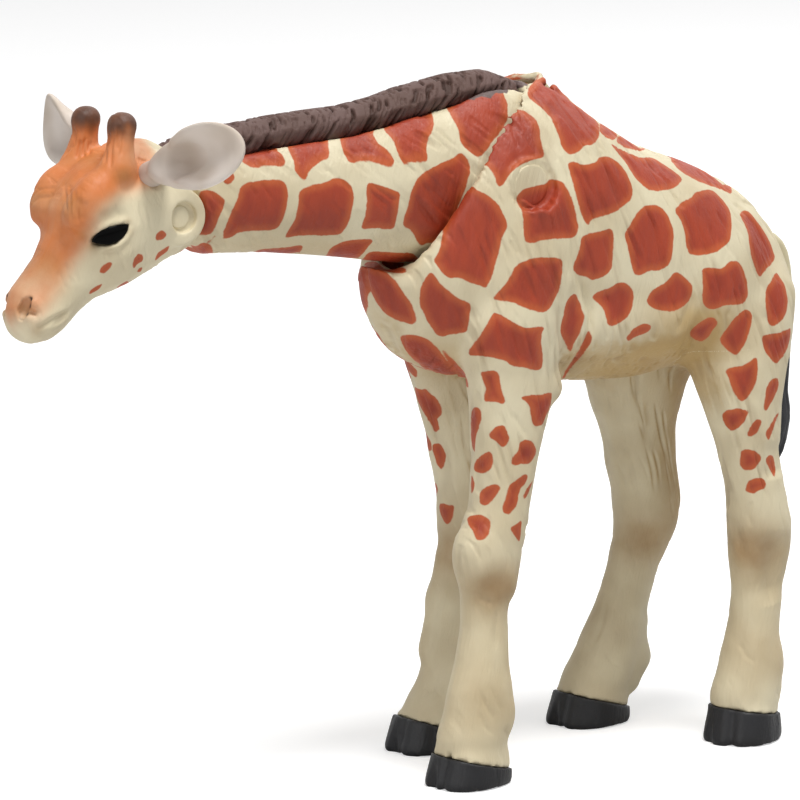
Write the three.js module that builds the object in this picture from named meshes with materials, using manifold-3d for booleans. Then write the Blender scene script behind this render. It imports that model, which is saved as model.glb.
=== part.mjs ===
// A toy giraffe: moulded body, level neck that swings up on a shoulder pin, head that nods on a cheek pin.
// Millimetres, +X towards the head, +Y the animal's left, +Z up; the floor is at zero height.

import * as THREE from 'three';
import { mergeVertices } from 'three/addons/utils/BufferGeometryUtils.js';
import Module from 'manifold-3d';

const wasm = await Module();
wasm.setup();

// Driving sizes of the body
const withersHeight = 68.5;
const bodyLength = 50.6;
const rumpBehindMiddle = 44.2;
const bodyWidth = 20;
const legThickness = 4.8;
const hoofHeight = 3.7;
const hoofLength = 9.1;
const hoofWidth = 7.6;
const tailThickness = 1.8;
const tuftThickness = 3;

// Driving sizes of the neck
const neckLength = 38.1;
const neckDepth = 13;
const neckWidth = 10.8;
const neckFootRadius = 10.4;
const neckFootWidth = 12.4;
const tongueWidth = 4.8;
const tongueRadius = 4.1;
const maneWidth = 4.8;
const maneHeight = 2.7;

// Driving sizes of the head
const headLength = 18.6;
const headDepth = 13;
const headWidth = 10.6;
const headBehindPin = 1.1;
const cheekLobeRadius = 2.7;
const cheekLobeSpan = 9.6;
const hornHeight = 5.6;
const hornThickness = 2.8;
const earLength = 14.6;
const earWidth = 5.6;
const earThickness = 1.1;
const earCupDepth = 1.5;
const eyeLength = 3.7;
const nostrilLength = 2;

// Walls, pins and fits
const shellWall = 2;
const crownWall = 3;
const neckPinRadius = 2.25;
const headPinRadius = 1.3;
const pegRadius = 1.7;
const pegLength = 3;
const seamPegRadius = 1.2;
const seamPegReach = 3;
const spigotLength = 2.2;
const glueGap = 0.15;
const runningGap = 0.1;
const swingGap = 0.5;
const partingGap = 0.3;

// How far the joints turn, and how the head and toes are turned at rest, in degrees
const neckRaise = 60;
const headNodUp = 15;
const headNodDown = 30;
const headDroop = 31;
const eyeTilt = 24;
const eyeSideTurn = 16;

// Facets
const bodySides = 28;
const neckSides = 20;
const legSides = 14;
const pinSides = 28;
const smallSides = 10;

const across = new THREE.Vector3(0, 1, 0);
const forward = new THREE.Vector3(1, 0, 0);
const upward = new THREE.Vector3(0, 0, 1);
const bothSides = [1, -1];
const radians = THREE.MathUtils.degToRad;

// Places of the pins, worked out from the body
const bodyX = (share) => bodyLength * share - rumpBehindMiddle;
const shoulderPinForwardShare = 0.723;
const shoulderPinHeightShare = 0.858;
const neckDropShare = 0.018;
const shoulderPin = new THREE.Vector3(
  bodyX(shoulderPinForwardShare), 0, withersHeight * shoulderPinHeightShare);
const headPin = new THREE.Vector3(
  shoulderPin.x + neckLength, 0, shoulderPin.z - neckLength * neckDropShare);

// Longer than the figure in every direction, for cuts
const overrun = 2 * (withersHeight + bodyLength + neckLength);

// Paints and plastics
const plastic = (color, roughness) => new THREE.MeshStandardMaterial({ color, roughness, metalness: 0 });
const creamPaint = plastic(0xe6dcb4, 0.6);
const neckPaint = plastic(0xd8a37c, 0.6);
const headPaint = plastic(0xdc9a64, 0.6);
const manePaint = plastic(0x4a3a38, 0.8);
const hoofPlastic = plastic(0x26272b, 0.55);
const eyePlastic = plastic(0x0b0b0d, 0.12);
const earPaint = plastic(0xdcc8bf, 0.6);
const tailPaint = plastic(0x2c2c2e, 0.6);
const pinPlastic = plastic(0xe2dab4, 0.5);

// Solids from geometries, and meshes from solids

function solidOf(geometry) {
  const bare = geometry.clone();
  bare.deleteAttribute('normal');
  bare.deleteAttribute('uv');
  const merged = mergeVertices(bare);
  const vertProperties = Float32Array.from(merged.getAttribute('position').array);
  const triVerts = Uint32Array.from(merged.getIndex().array);
  return new wasm.Manifold(new wasm.Mesh({ numProp: 3, vertProperties, triVerts }));
}

function meshOf(name, solid, material) {
  const { vertProperties, triVerts } = solid.getMesh();
  const shared = new THREE.BufferGeometry();
  shared.setAttribute('position', new THREE.BufferAttribute(vertProperties, 3));
  shared.setIndex(new THREE.BufferAttribute(triVerts, 1));
  const geometry = shared.toNonIndexed();
  geometry.computeVertexNormals();
  const mesh = new THREE.Mesh(geometry, material);
  mesh.name = name;
  return mesh;
}

function joined(solids) {
  return solids.reduce((whole, piece) => whole.add(piece));
}

function cut(solid, tools) {
  return tools.reduce((rest, tool) => rest.subtract(tool), solid);
}

// Basic solids

function signedVolume(points, faces) {
  let sum = 0;
  for (let face = 0; face < faces.length; face += 3) {
    const [a, b, c] = [0, 1, 2].map((corner) => points[faces[face + corner]]);
    sum += a.dot(b.clone().cross(c));
  }
  return sum;
}

// A closed skin through rings of points that all have the same count.
function loft(rings) {
  const sides = rings[0].length;
  const middleOf = (points) => points.reduce((sum, point) => sum.add(point), new THREE.Vector3())
    .divideScalar(sides);
  const points = [...rings.flat(), middleOf(rings[0]), middleOf(rings.at(-1))];
  const firstMiddle = rings.length * sides;
  const lastMiddle = firstMiddle + 1;
  const lastRing = firstMiddle - sides;
  const faces = [];
  for (let side = 0; side < sides; side += 1) {
    const next = (side + 1) % sides;
    faces.push(firstMiddle, next, side);
    faces.push(lastMiddle, lastRing + side, lastRing + next);
    for (let start = 0; start < lastRing; start += sides) {
      faces.push(start + side, start + next, start + sides + next);
      faces.push(start + side, start + sides + next, start + sides + side);
    }
  }
  const geometry = new THREE.BufferGeometry().setFromPoints(points);
  geometry.setIndex(signedVolume(points, faces) < 0 ? faces.reverse() : faces);
  return solidOf(geometry);
}

// A closed ring round a centre: wide along one direction, and with its own rise and drop along the other.
// A power of 1 gives an ellipse, and a lower one squarer corners.
function ring(centre, wideAlong, riseAlong, { halfWidth, rise, drop = rise }, sides, power = 1) {
  return Array.from({ length: sides }, (_, side) => {
    const turn = (side + 0.5) * 2 * Math.PI / sides;
    const sideways = Math.sign(Math.cos(turn)) * Math.abs(Math.cos(turn)) ** power;
    const lift = Math.sign(Math.sin(turn)) * Math.abs(Math.sin(turn)) ** power;
    return centre.clone().addScaledVector(wideAlong, halfWidth * sideways)
      .addScaledVector(riseAlong, lift * (lift > 0 ? rise : drop));
  });
}

// Rows of numbers made denser by a smooth curve through each column.
function smoothRows(rows, steps) {
  const curve = new THREE.CubicInterpolant(rows.map((row, index) => index), rows.flat(), rows[0].length);
  const count = (rows.length - 1) * steps;
  return Array.from({ length: count + 1 }, (_, step) => [...curve.evaluate(step / steps)]);
}

// A round tube of changing thickness along points in the middle plane.
function taperedTube(points, radii) {
  return loft(points.map((point, index) => {
    const ahead = points[Math.min(index + 1, points.length - 1)];
    const behind = points[Math.max(index - 1, 0)];
    const along = ahead.clone().sub(behind).normalize();
    const size = { halfWidth: radii[index], rise: radii[index] };
    return ring(point, across, across.clone().cross(along), size, smallSides);
  }));
}

function box(low, high) {
  const size = high.clone().sub(low);
  const middle = low.clone().add(high).divideScalar(2);
  return solidOf(new THREE.BoxGeometry(size.x, size.y, size.z).translate(middle.x, middle.y, middle.z));
}

function everythingBelow(height) {
  return box(new THREE.Vector3(-overrun, -overrun, -overrun), new THREE.Vector3(overrun, overrun, height));
}

// A round bar along Y, centred on a point.
function crossBar(centre, radius, halfWidth, sides = pinSides) {
  return solidOf(new THREE.CylinderGeometry(radius, radius, halfWidth * 2, sides)
    .translate(centre.x, centre.y, centre.z));
}

function uprightBar(centre, radius, bottom, top) {
  return solidOf(new THREE.CylinderGeometry(radius, radius, top - bottom, legSides)
    .rotateX(Math.PI / 2).translate(centre.x, centre.y, (bottom + top) / 2));
}

// An outline in the side view, as [x, z] pairs, made into a slab across the middle.
function sideSlab(outline, halfWidth) {
  const shape = new THREE.Shape(outline.map(([x, z]) => new THREE.Vector2(x, z)));
  return solidOf(new THREE.ExtrudeGeometry(shape, { depth: halfWidth * 2, bevelEnabled: false })
    .rotateX(Math.PI / 2).translate(0, halfWidth, 0));
}

// A ball stretched along its axes, then tipped and put in place; its poles lie on its Y axis.
function stretchedBall(centre, halfSizes, tip, sides) {
  const geometry = new THREE.SphereGeometry(1, sides, Math.ceil(sides / 2));
  const placed = new THREE.Matrix4().compose(centre, new THREE.Quaternion().setFromEuler(tip), halfSizes);
  return solidOf(geometry.applyMatrix4(placed));
}

// A flat-sided lens round the shoulder pin.
function shoulderLens(radius, halfWidth) {
  return stretchedBall(
    shoulderPin, new THREE.Vector3(radius, halfWidth, radius), new THREE.Euler(), pinSides);
}

// A solid turned about a pin along Y; a positive turn lifts the head end.
function raised(solid, pin, degrees) {
  return solid.translate([-pin.x, 0, -pin.z]).rotate([0, -degrees, 0]).translate([pin.x, 0, pin.z]);
}

function leftHalf(solid) {
  return solid.intersect(box(
    new THREE.Vector3(-overrun, 0, -overrun), new THREE.Vector3(overrun, overrun, overrun)));
}

function rightHalf(solid) {
  return solid.intersect(box(
    new THREE.Vector3(-overrun, -overrun, -overrun), new THREE.Vector3(overrun, 0, overrun)));
}

function mirrored(point, side) {
  return new THREE.Vector3(point.x, point.y * side, point.z);
}

// Legs: height, half length, half width, distance from the middle and from the rump of each section
const legs = [
  {
    name: 'front_left',
    side: 1,
    toeTurn: 18,
    sectionShares: [
      [0.030, 0.79, 0.71, 0.76, 0.854],
      [0.069, 0.77, 0.69, 0.76, 0.850],
      [0.099, 0.74, 0.65, 0.76, 0.838],
      [0.136, 0.72, 0.60, 0.76, 0.830],
      [0.171, 0.60, 0.52, 0.75, 0.826],
      [0.226, 0.52, 0.46, 0.74, 0.818],
      [0.270, 0.52, 0.48, 0.73, 0.816],
      [0.318, 0.67, 0.59, 0.72, 0.812],
      [0.352, 0.71, 0.60, 0.72, 0.806],
      [0.401, 0.62, 0.58, 0.71, 0.781],
      [0.467, 0.69, 0.62, 0.69, 0.767],
      [0.547, 0.94, 0.69, 0.67, 0.747],
      [0.591, 1.08, 0.73, 0.66, 0.743],
      [0.664, 1.21, 0.69, 0.66, 0.741],
      [0.737, 0.96, 0.46, 0.60, 0.745],
    ],
  },
  {
    name: 'front_right',
    side: -1,
    toeTurn: 12,
    sectionShares: [
      [0.030, 0.79, 0.71, 0.76, 0.737],
      [0.069, 0.77, 0.69, 0.76, 0.713],
      [0.099, 0.74, 0.65, 0.76, 0.686],
      [0.136, 0.72, 0.60, 0.76, 0.674],
      [0.171, 0.60, 0.52, 0.75, 0.664],
      [0.226, 0.52, 0.46, 0.74, 0.654],
      [0.270, 0.52, 0.48, 0.73, 0.644],
      [0.318, 0.67, 0.59, 0.72, 0.642],
      [0.352, 0.71, 0.60, 0.72, 0.644],
      [0.401, 0.66, 0.58, 0.71, 0.648],
      [0.467, 0.73, 0.62, 0.69, 0.658],
      [0.547, 0.88, 0.69, 0.67, 0.686],
      [0.591, 1.00, 0.73, 0.66, 0.706],
      [0.664, 1.17, 0.69, 0.66, 0.735],
      [0.737, 0.96, 0.46, 0.60, 0.745],
    ],
  },
  {
    name: 'rear_left',
    side: 1,
    toeTurn: 36,
    sectionShares: [
      [0.030, 0.81, 0.73, 0.70, 0.170],
      [0.069, 0.81, 0.71, 0.70, 0.165],
      [0.099, 0.75, 0.65, 0.72, 0.159],
      [0.130, 0.65, 0.60, 0.73, 0.160],
      [0.174, 0.58, 0.52, 0.75, 0.154],
      [0.226, 0.58, 0.50, 0.78, 0.150],
      [0.285, 0.73, 0.58, 0.79, 0.148],
      [0.328, 0.76, 0.60, 0.80, 0.149],
      [0.387, 0.69, 0.56, 0.79, 0.164],
      [0.445, 0.73, 0.62, 0.76, 0.174],
      [0.504, 0.92, 0.71, 0.72, 0.184],
      [0.547, 1.13, 0.77, 0.69, 0.188],
      [0.591, 1.29, 0.81, 0.66, 0.184],
      [0.664, 1.38, 0.75, 0.60, 0.170],
      [0.737, 0.92, 0.52, 0.52, 0.162],
      [0.788, 0.46, 0.27, 0.42, 0.170],
    ],
  },
  {
    name: 'rear_right',
    side: -1,
    toeTurn: 14,
    sectionShares: [
      [0.030, 0.81, 0.73, 0.84, 0.328],
      [0.069, 0.81, 0.71, 0.84, 0.312],
      [0.099, 0.78, 0.65, 0.84, 0.287],
      [0.130, 0.71, 0.60, 0.84, 0.273],
      [0.174, 0.62, 0.52, 0.83, 0.249],
      [0.226, 0.60, 0.50, 0.83, 0.223],
      [0.285, 0.75, 0.58, 0.82, 0.192],
      [0.328, 0.81, 0.60, 0.81, 0.188],
      [0.387, 0.72, 0.56, 0.79, 0.196],
      [0.445, 0.79, 0.62, 0.76, 0.211],
      [0.504, 1.04, 0.71, 0.72, 0.215],
      [0.547, 1.33, 0.77, 0.69, 0.215],
      [0.591, 1.54, 0.81, 0.66, 0.208],
      [0.664, 1.48, 0.75, 0.60, 0.186],
      [0.737, 0.96, 0.52, 0.52, 0.166],
      [0.788, 0.46, 0.27, 0.42, 0.170],
    ],
  },
];
const legJointShare = 0.591;
const legJointHeight = withersHeight * legJointShare;

function legSections(leg) {
  return leg.sectionShares.map(([height, long, wide, outward, along]) => ({
    centre: new THREE.Vector3(bodyX(along), leg.side * outward * bodyWidth / 2, height * withersHeight),
    halfLength: long * legThickness,
    halfWidth: wide * legThickness,
  }));
}

function legSkin(leg, grow = 0) {
  return loft(legSections(leg).map(({ centre, halfLength, halfWidth }) => ring(
    centre, forward, across, { halfWidth: halfLength + grow, rise: halfWidth + grow }, legSides)));
}

// The middle of the leg's section nearest to the joint with the torso.
function legJoint(leg) {
  const offset = (section) => Math.abs(section.centre.z - legJointHeight);
  return legSections(leg).reduce((best, section) => (offset(section) < offset(best) ? section : best)).centre;
}

function footCentre(leg) {
  return legSections(leg)[0].centre.clone().setZ(0);
}

function legPiece(leg) {
  const limb = legSkin(leg).intersect(everythingBelow(legJointHeight)).subtract(everythingBelow(hoofHeight));
  return joined([
    limb,
    uprightBar(legJoint(leg), pegRadius, legJointHeight - pegLength, legJointHeight + pegLength),
    uprightBar(footCentre(leg), pegRadius, hoofHeight - spigotLength, hoofHeight + glueGap),
  ]);
}

// Hooves: an outline that narrows and leans back upwards, a cleft at the toe, a socket for the spigot
const hoofTopShare = 0.86;
const hoofLeanShare = 0.07;
const cleftDepthShare = 0.22;
const cleftWidthShare = 0.1;
const hoofPower = 0.85;

function hoof(leg) {
  const foot = footCentre(leg);
  const turned = radians(leg.toeTurn);
  const toeward = forward.clone().applyAxisAngle(upward, turned);
  const sideways = across.clone().applyAxisAngle(upward, turned);
  const lean = hoofLength * hoofLeanShare / 2;
  const levels = [[0, 1, lean], [hoofHeight, hoofTopShare, -lean]];
  const rings = levels.map(([height, narrow, leanHere]) => {
    const centre = foot.clone().setZ(height).addScaledVector(toeward, leanHere);
    const size = { halfWidth: hoofLength / 2 * narrow, rise: hoofWidth / 2 * narrow };
    return ring(centre, toeward, sideways, size, legSides, hoofPower);
  });
  const cleftStart = hoofLength / 2 - hoofLength * cleftDepthShare;
  const cleft = solidOf(new THREE.BoxGeometry(hoofLength, hoofWidth * cleftWidthShare, overrun)
    .translate(cleftStart + hoofLength / 2, 0, 0).rotateZ(turned).translate(foot.x, foot.y, 0));
  const socket = uprightBar(foot, pegRadius + glueGap, hoofHeight - spigotLength - glueGap, overrun);
  return cut(loft(rings), [cleft, socket]);
}

// Tail: distance from the rump, height and thickness of the stem, then of the tuft
const tailShares = [
  [0.083, 0.714, 1.00],
  [0.022, 0.727, 1.00],
  [-0.012, 0.714, 1.00],
  [-0.030, 0.682, 0.95],
  [-0.038, 0.620, 0.90],
  [-0.034, 0.555, 0.85],
  [-0.026, 0.496, 0.95],
];
const tuftShares = [
  [-0.022, 0.457, 0.95],
  [-0.016, 0.419, 0.85],
  [-0.008, 0.382, 0.25],
];
const tailSteps = 2;

function tailSkin(grow = 0) {
  const stem = smoothRows(tailShares, tailSteps)
    .map(([along, height, thick]) => [along, height, thick * tailThickness / 2]);
  const tuft = tuftShares.map(([along, height, thick]) => [along, height, thick * tuftThickness / 2]);
  const rows = [...stem, ...tuft];
  return taperedTube(
    rows.map(([along, height]) => new THREE.Vector3(bodyX(along), 0, height * withersHeight)),
    rows.map(([, , radius]) => radius + grow));
}

// Neck: distance from the shoulder pin towards the head pin, rise, drop and half width
const neckShares = [
  [0.055, 1.36, 1.33, 0.84],
  [0.125, 1.36, 1.30, 0.90],
  [0.197, 1.29, 1.23, 0.96],
  [0.270, 1.25, 1.17, 1.00],
  [0.344, 1.16, 1.10, 1.02],
  [0.449, 1.08, 0.98, 0.98],
  [0.554, 1.06, 0.88, 0.91],
  [0.685, 1.03, 0.77, 0.86],
  [0.800, 0.97, 0.71, 0.82],
  [0.900, 0.92, 0.68, 0.79],
  [0.985, 0.85, 0.66, 0.76],
];
const sweptNeckShares = neckShares.slice(0, 6);
const neckPegShares = [0.32, 0.62];
const tongueReachShare = 0.25;
const tongueBlockShare = 0.75;

function neckPoint(share, rise = 0) {
  return shoulderPin.clone().lerp(headPin, share).addScaledVector(upward, rise);
}

function neckSkin(grow = 0, rows = neckShares) {
  return loft(rows.map(([along, rise, drop, wide]) => {
    const size = {
      halfWidth: wide * neckWidth / 2 + grow,
      rise: rise * neckDepth / 2 + grow,
      drop: drop * neckDepth / 2 + grow,
    };
    return ring(neckPoint(along), across, upward, size, neckSides);
  }));
}

// Mane: distance from the shoulder pin, and height of the crest above the line of the pins
const maneShares = [
  [-0.100, 1.38],
  [0.000, 1.60],
  [0.108, 1.585],
  [0.197, 1.51],
  [0.270, 1.446],
  [0.339, 1.345],
  [0.449, 1.263],
  [0.554, 1.246],
  [0.677, 1.215],
  [0.759, 1.165],
  [0.850, 1.142],
  [0.960, 1.070],
];
// The mane's section, from the left foot of the ridge over to the right
const ridgeShares = [[-0.5, 0], [-0.47, 0.5], [-0.24, 0.92], [0, 1], [0.24, 0.92], [0.47, 0.5], [0.5, 0]];

function maneSkin() {
  return loft(maneShares.map(([along, crest]) => ridgeShares.map(([wide, high]) => (
    neckPoint(along, crest * neckDepth / 2 - maneHeight * (1 - high)).addScaledVector(across, wide * maneWidth)
  ))));
}

// The rebate for the mane: its foot and sides with a gap, open at the top
function maneRebate() {
  const sides = [-1, 1].map((side) => side * (maneWidth / 2 + glueGap));
  return loft(maneShares.map(([along, crest]) => {
    const foot = neckPoint(along, crest * neckDepth / 2 - maneHeight - glueGap);
    const top = foot.clone().addScaledVector(upward, maneHeight * 2);
    const corner = (point, side) => point.clone().addScaledVector(across, side);
    return [corner(foot, sides[0]), corner(top, sides[0]), corner(top, sides[1]), corner(foot, sides[1])];
  }));
}

// The space that the back of the head sweeps through, from its lowest to its highest nod
function headSweep() {
  const behind = box(
    new THREE.Vector3(headPin.x - headBehindPin - swingGap, -overrun, headPin.z - overrun),
    new THREE.Vector3(headPin.x + overrun, overrun, headPin.z + overrun));
  return [-headNodDown, 0, headNodUp].map((turn) => raised(behind, headPin, turn));
}

function seamPegs(places, grow = 0) {
  return places.map((place) => crossBar(place, seamPegRadius + grow, seamPegReach + grow, smallSides));
}

function neckPegPlaces() {
  return neckPegShares.map((share) => neckPoint(share));
}

function neckWhole() {
  const shank = cut(neckSkin(), [
    ...headSweep(), crossBar(headPin, cheekLobeRadius + swingGap, overrun)]);
  const blockHalfHeight = tongueRadius * tongueBlockShare;
  const block = box(
    new THREE.Vector3(headPin.x - neckLength * tongueReachShare, -tongueWidth / 2, headPin.z - blockHalfHeight),
    new THREE.Vector3(headPin.x, tongueWidth / 2, headPin.z + blockHalfHeight));
  const whole = joined([
    shoulderLens(neckFootRadius, neckFootWidth / 2),
    shank,
    crossBar(headPin, tongueRadius, tongueWidth / 2),
    block,
  ]);
  return cut(whole, [
    crossBar(shoulderPin, neckPinRadius + runningGap, overrun),
    crossBar(headPin, headPinRadius + runningGap, overrun, legSides),
    maneRebate(),
  ]);
}

function mane() {
  return cut(maneSkin(), headSweep());
}

// Torso: distance from the rump, height of the back, height of the belly, half width
const torsoShares = [
  [0.000, 0.655, 0.569, 0.16],
  [0.010, 0.691, 0.542, 0.36],
  [0.034, 0.737, 0.518, 0.59],
  [0.079, 0.781, 0.508, 0.78],
  [0.152, 0.825, 0.527, 0.92],
  [0.265, 0.863, 0.556, 0.96],
  [0.391, 0.896, 0.545, 0.99],
  [0.518, 0.956, 0.549, 1.00],
  [0.611, 1.000, 0.555, 1.00],
  [0.725, 0.997, 0.562, 0.96],
  [0.824, 0.956, 0.577, 0.84],
  [0.903, 0.891, 0.603, 0.66],
  [0.955, 0.825, 0.642, 0.42],
  [0.982, 0.781, 0.673, 0.24],
  [1.000, 0.750, 0.705, 0.09],
];
const widestHeightShare = 0.45;
const torsoPower = 0.9;
const torsoSteps = 2;

function torsoSkin() {
  return loft(smoothRows(torsoShares, torsoSteps).map(([along, back, belly, wide]) => {
    const middle = (belly + (back - belly) * widestHeightShare) * withersHeight;
    const size = {
      halfWidth: wide * bodyWidth / 2,
      rise: back * withersHeight - middle,
      drop: middle - belly * withersHeight,
    };
    const centre = new THREE.Vector3(bodyX(along), 0, middle);
    return ring(centre, across, upward, size, bodySides, torsoPower);
  }));
}

// The hollow of the barrel, between the rump and the groove of the mane, above the pegs of the legs
const maneGrooveRadius = neckFootRadius + maneHeight - partingGap;
const hollowBackShare = 0.103;
const hollowSteps = 5;
const hollowRowSteps = 8;

function barrelHollow() {
  const back = bodyX(hollowBackShare);
  const front = shoulderPin.x - maneGrooveRadius - shellWall;
  const floor = legJointHeight + pegLength + shellWall;
  const rows = smoothRows(torsoShares, hollowRowSteps);
  const rings = Array.from({ length: hollowSteps + 1 }, (_, step) => {
    const x = THREE.MathUtils.lerp(back, front, step / hollowSteps);
    const offset = ([along]) => Math.abs(bodyX(along) - x);
    const [, top, , wide] = rows.reduce((best, row) => (offset(row) < offset(best) ? row : best));
    const ceiling = top * withersHeight - crownWall;
    const size = { halfWidth: wide * bodyWidth / 2 - crownWall, rise: (ceiling - floor) / 2 };
    return ring(new THREE.Vector3(x, 0, (ceiling + floor) / 2), across, upward, size, legSides);
  });
  return loft(rings);
}

// The opening of the shoulders in the side view: slanting wall edges, then the lip of the chest
const openingShares = [
  [0.690, 1.3],
  [0.690, 1.028],
  [0.725, 0.982],
  [0.955, 0.731],
  [1.002, 0.755],
  [1.280, 0.755],
  [1.280, 1.3],
];
// The pocket behind the lip of the chest, in the side view
const pocketShares = [
  [0.743, 0.718], [0.794, 0.673], [0.890, 0.677], [0.925, 0.705], [0.925, 0.796], [0.743, 0.796]];
const pocketWidthShare = 0.38;
const neckTurnShares = [0, 0.33, 0.67, 1];
const bodyOutline = (shares) => shares.map(([along, height]) => [bodyX(along), height * withersHeight]);

// The groove between the shoulders that the mane turns in, open at the top
function maneGroove() {
  const halfWidth = maneWidth / 2 + swingGap;
  const openTop = box(
    new THREE.Vector3(shoulderPin.x - maneGrooveRadius / 2, -halfWidth, shoulderPin.z),
    new THREE.Vector3(shoulderPin.x + maneGrooveRadius, halfWidth, overrun));
  return joined([crossBar(shoulderPin, maneGrooveRadius, halfWidth), openTop]);
}

// The slot that the neck's foot, flanks and mane turn in
function neckSlot() {
  const flanks = neckSkin(swingGap, sweptNeckShares);
  return joined([
    shoulderLens(neckFootRadius + swingGap, neckFootWidth / 2 + swingGap),
    maneGroove(),
    sideSlab(bodyOutline(openingShares), overrun),
    sideSlab(bodyOutline(pocketShares), bodyWidth / 2 * pocketWidthShare),
    ...neckTurnShares.map((share) => raised(flanks, shoulderPin, neckRaise * share)),
  ]);
}

// Pegs on the left half that plug into the right half across the seam
const torsoPegShares = [[0.061, 0.612], [0.547, 0.607], [0.852, 0.628]];

function torsoPegPlaces() {
  return bodyOutline(torsoPegShares).map(([x, z]) => new THREE.Vector3(x, 0, z));
}

function torsoWhole() {
  const limbTops = legs.map((leg) => legSkin(leg).subtract(everythingBelow(legJointHeight)));
  const limbRoom = legs.map((leg) => legSkin(leg, partingGap).intersect(everythingBelow(legJointHeight)));
  const pegRoom = legs.map((leg) => uprightBar(
    legJoint(leg), pegRadius + glueGap, legJointHeight - pegLength, legJointHeight + pegLength + glueGap));
  return cut(joined([torsoSkin(), ...limbTops]), [
    barrelHollow(),
    neckSlot(),
    crossBar(shoulderPin, neckPinRadius + glueGap, overrun),
    tailSkin(partingGap),
    ...limbRoom,
    ...pegRoom,
  ]);
}

// Head: distance from the pin towards the nose, rise, drop and half width across its own axis
const headAlong = forward.clone().applyAxisAngle(across, radians(headDroop));
const headUp = headAlong.clone().cross(across);
const headShares = [
  [-0.300, 0.36, 0.36, 0.58],
  [-0.226, 0.66, 0.62, 0.75],
  [-0.140, 1.04, 0.70, 0.87],
  [-0.027, 1.22, 0.69, 0.94],
  [0.108, 1.31, 0.65, 1.00],
  [0.242, 1.32, 0.57, 1.02],
  [0.376, 1.24, 0.52, 1.00],
  [0.484, 1.06, 0.45, 0.89],
  [0.570, 0.78, 0.38, 0.73],
  [0.677, 0.60, 0.40, 0.63],
  [0.796, 0.49, 0.43, 0.61],
  [0.892, 0.41, 0.43, 0.59],
  [0.962, 0.25, 0.38, 0.49],
  [0.995, 0.06, 0.27, 0.28],
];
const headWidestShare = 0.42;

function headPoint([along, rise, outward], side = 1) {
  return headPin.clone().addScaledVector(headAlong, along * headLength)
    .addScaledVector(headUp, rise * headDepth / 2).addScaledVector(across, side * outward * headWidth / 2);
}

function headSkin() {
  return loft(headShares.map(([along, rise, drop, wide]) => {
    const middle = (rise + drop) * headWidestShare - drop;
    const size = {
      halfWidth: wide * headWidth / 2,
      rise: (rise - middle) * headDepth / 2,
      drop: (middle + drop) * headDepth / 2,
    };
    return ring(headPoint([along, middle, 0]), across, headUp, size, neckSides);
  }));
}

// Places on the head: distance from the pin, rise and distance from the middle
const hornPlaceShares = [0.137, 1.03, 0.58];
const browPlaceShares = [0.36, 0.88, 0.50];
const eyePlaceShares = [0.405, 0.50, 0.86];
const nostrilPlaceShares = [0.925, 0.17, 0.42];
const earPlaceShares = [0.03, 0.72, 0.72];

// Height up the horn and half thickness
const hornShares = [[-0.2, 0.5], [0.2, 0.56], [0.6, 0.5], [0.86, 0.5], [0.96, 0.38], [1, 0.18]];

function horn(side) {
  const base = headPoint(hornPlaceShares, side);
  return loft(hornShares.map(([height, thick]) => {
    const size = { halfWidth: thick * hornThickness, rise: thick * hornThickness };
    return ring(base.clone().addScaledVector(upward, height * hornHeight), forward, across, size, smallSides);
  }));
}

// A ball on the head whose long axis lies along the face, turned towards the middle on its own side.
function faceBall(placeShares, halfSizes, tilt, sideTurn, side) {
  const tip = new THREE.Euler(0, radians(tilt), -side * radians(sideTurn), 'ZYX');
  return stretchedBall(headPoint(placeShares, side), halfSizes, tip, smallSides);
}

const eyeShares = new THREE.Vector3(0.5, 0.22, 0.23);
const nostrilShares = new THREE.Vector3(0.5, 0.5, 0.28);
const browShares = new THREE.Vector3(0.31, 0.2, 0.19);

function eye(side, grow = 0) {
  const halfSizes = eyeShares.clone().multiplyScalar(eyeLength).addScalar(grow);
  return faceBall(eyePlaceShares, halfSizes, eyeTilt, eyeSideTurn, side);
}

function nostril(side) {
  const halfSizes = nostrilShares.clone().multiplyScalar(nostrilLength);
  return faceBall(nostrilPlaceShares, halfSizes, -headDroop, headDroop, side);
}

function brow(side) {
  return faceBall(browPlaceShares, browShares.clone().multiplyScalar(headWidth), headDroop, 0, side);
}

// Ears: a cupped leaf from its root in the head; distance from the root and half width
const earShares = [
  [0.00, 0.20],
  [0.16, 0.20],
  [0.26, 0.26],
  [0.40, 0.42],
  [0.58, 0.50],
  [0.76, 0.45],
  [0.90, 0.30],
  [1.00, 0.10],
];
const earPlaces = [-1, -0.5, 0, 0.5, 1];
const earReachShares = new THREE.Vector3(-0.03, 0.93, 0.32);
const earFacingShares = new THREE.Vector3(1, 0.3, -0.1);
const earEdgeShare = 0.55;

function ear(side, grow = 0) {
  const root = headPoint(earPlaceShares, side);
  const outward = mirrored(earReachShares, side).normalize();
  const facing = mirrored(earFacingShares, side).projectOnPlane(outward).normalize();
  const tall = facing.clone().cross(outward).multiplyScalar(side);
  return loft(earShares.map(([along, wide]) => {
    const centre = root.clone().addScaledVector(outward, along * earLength);
    const hollow = earCupDepth * along * Math.min(1, wide * 2);
    const leaf = (place, face) => {
      const half = earThickness / 2 * (1 - earEdgeShare * place * place) + grow;
      return centre.clone().addScaledVector(tall, place * (wide * earWidth + grow))
        .addScaledVector(facing, face * half - hollow * (1 - place * place));
    };
    return [
      ...earPlaces.map((place) => leaf(place, 1)),
      ...earPlaces.toReversed().map((place) => leaf(place, -1)),
    ];
  }));
}

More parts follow.
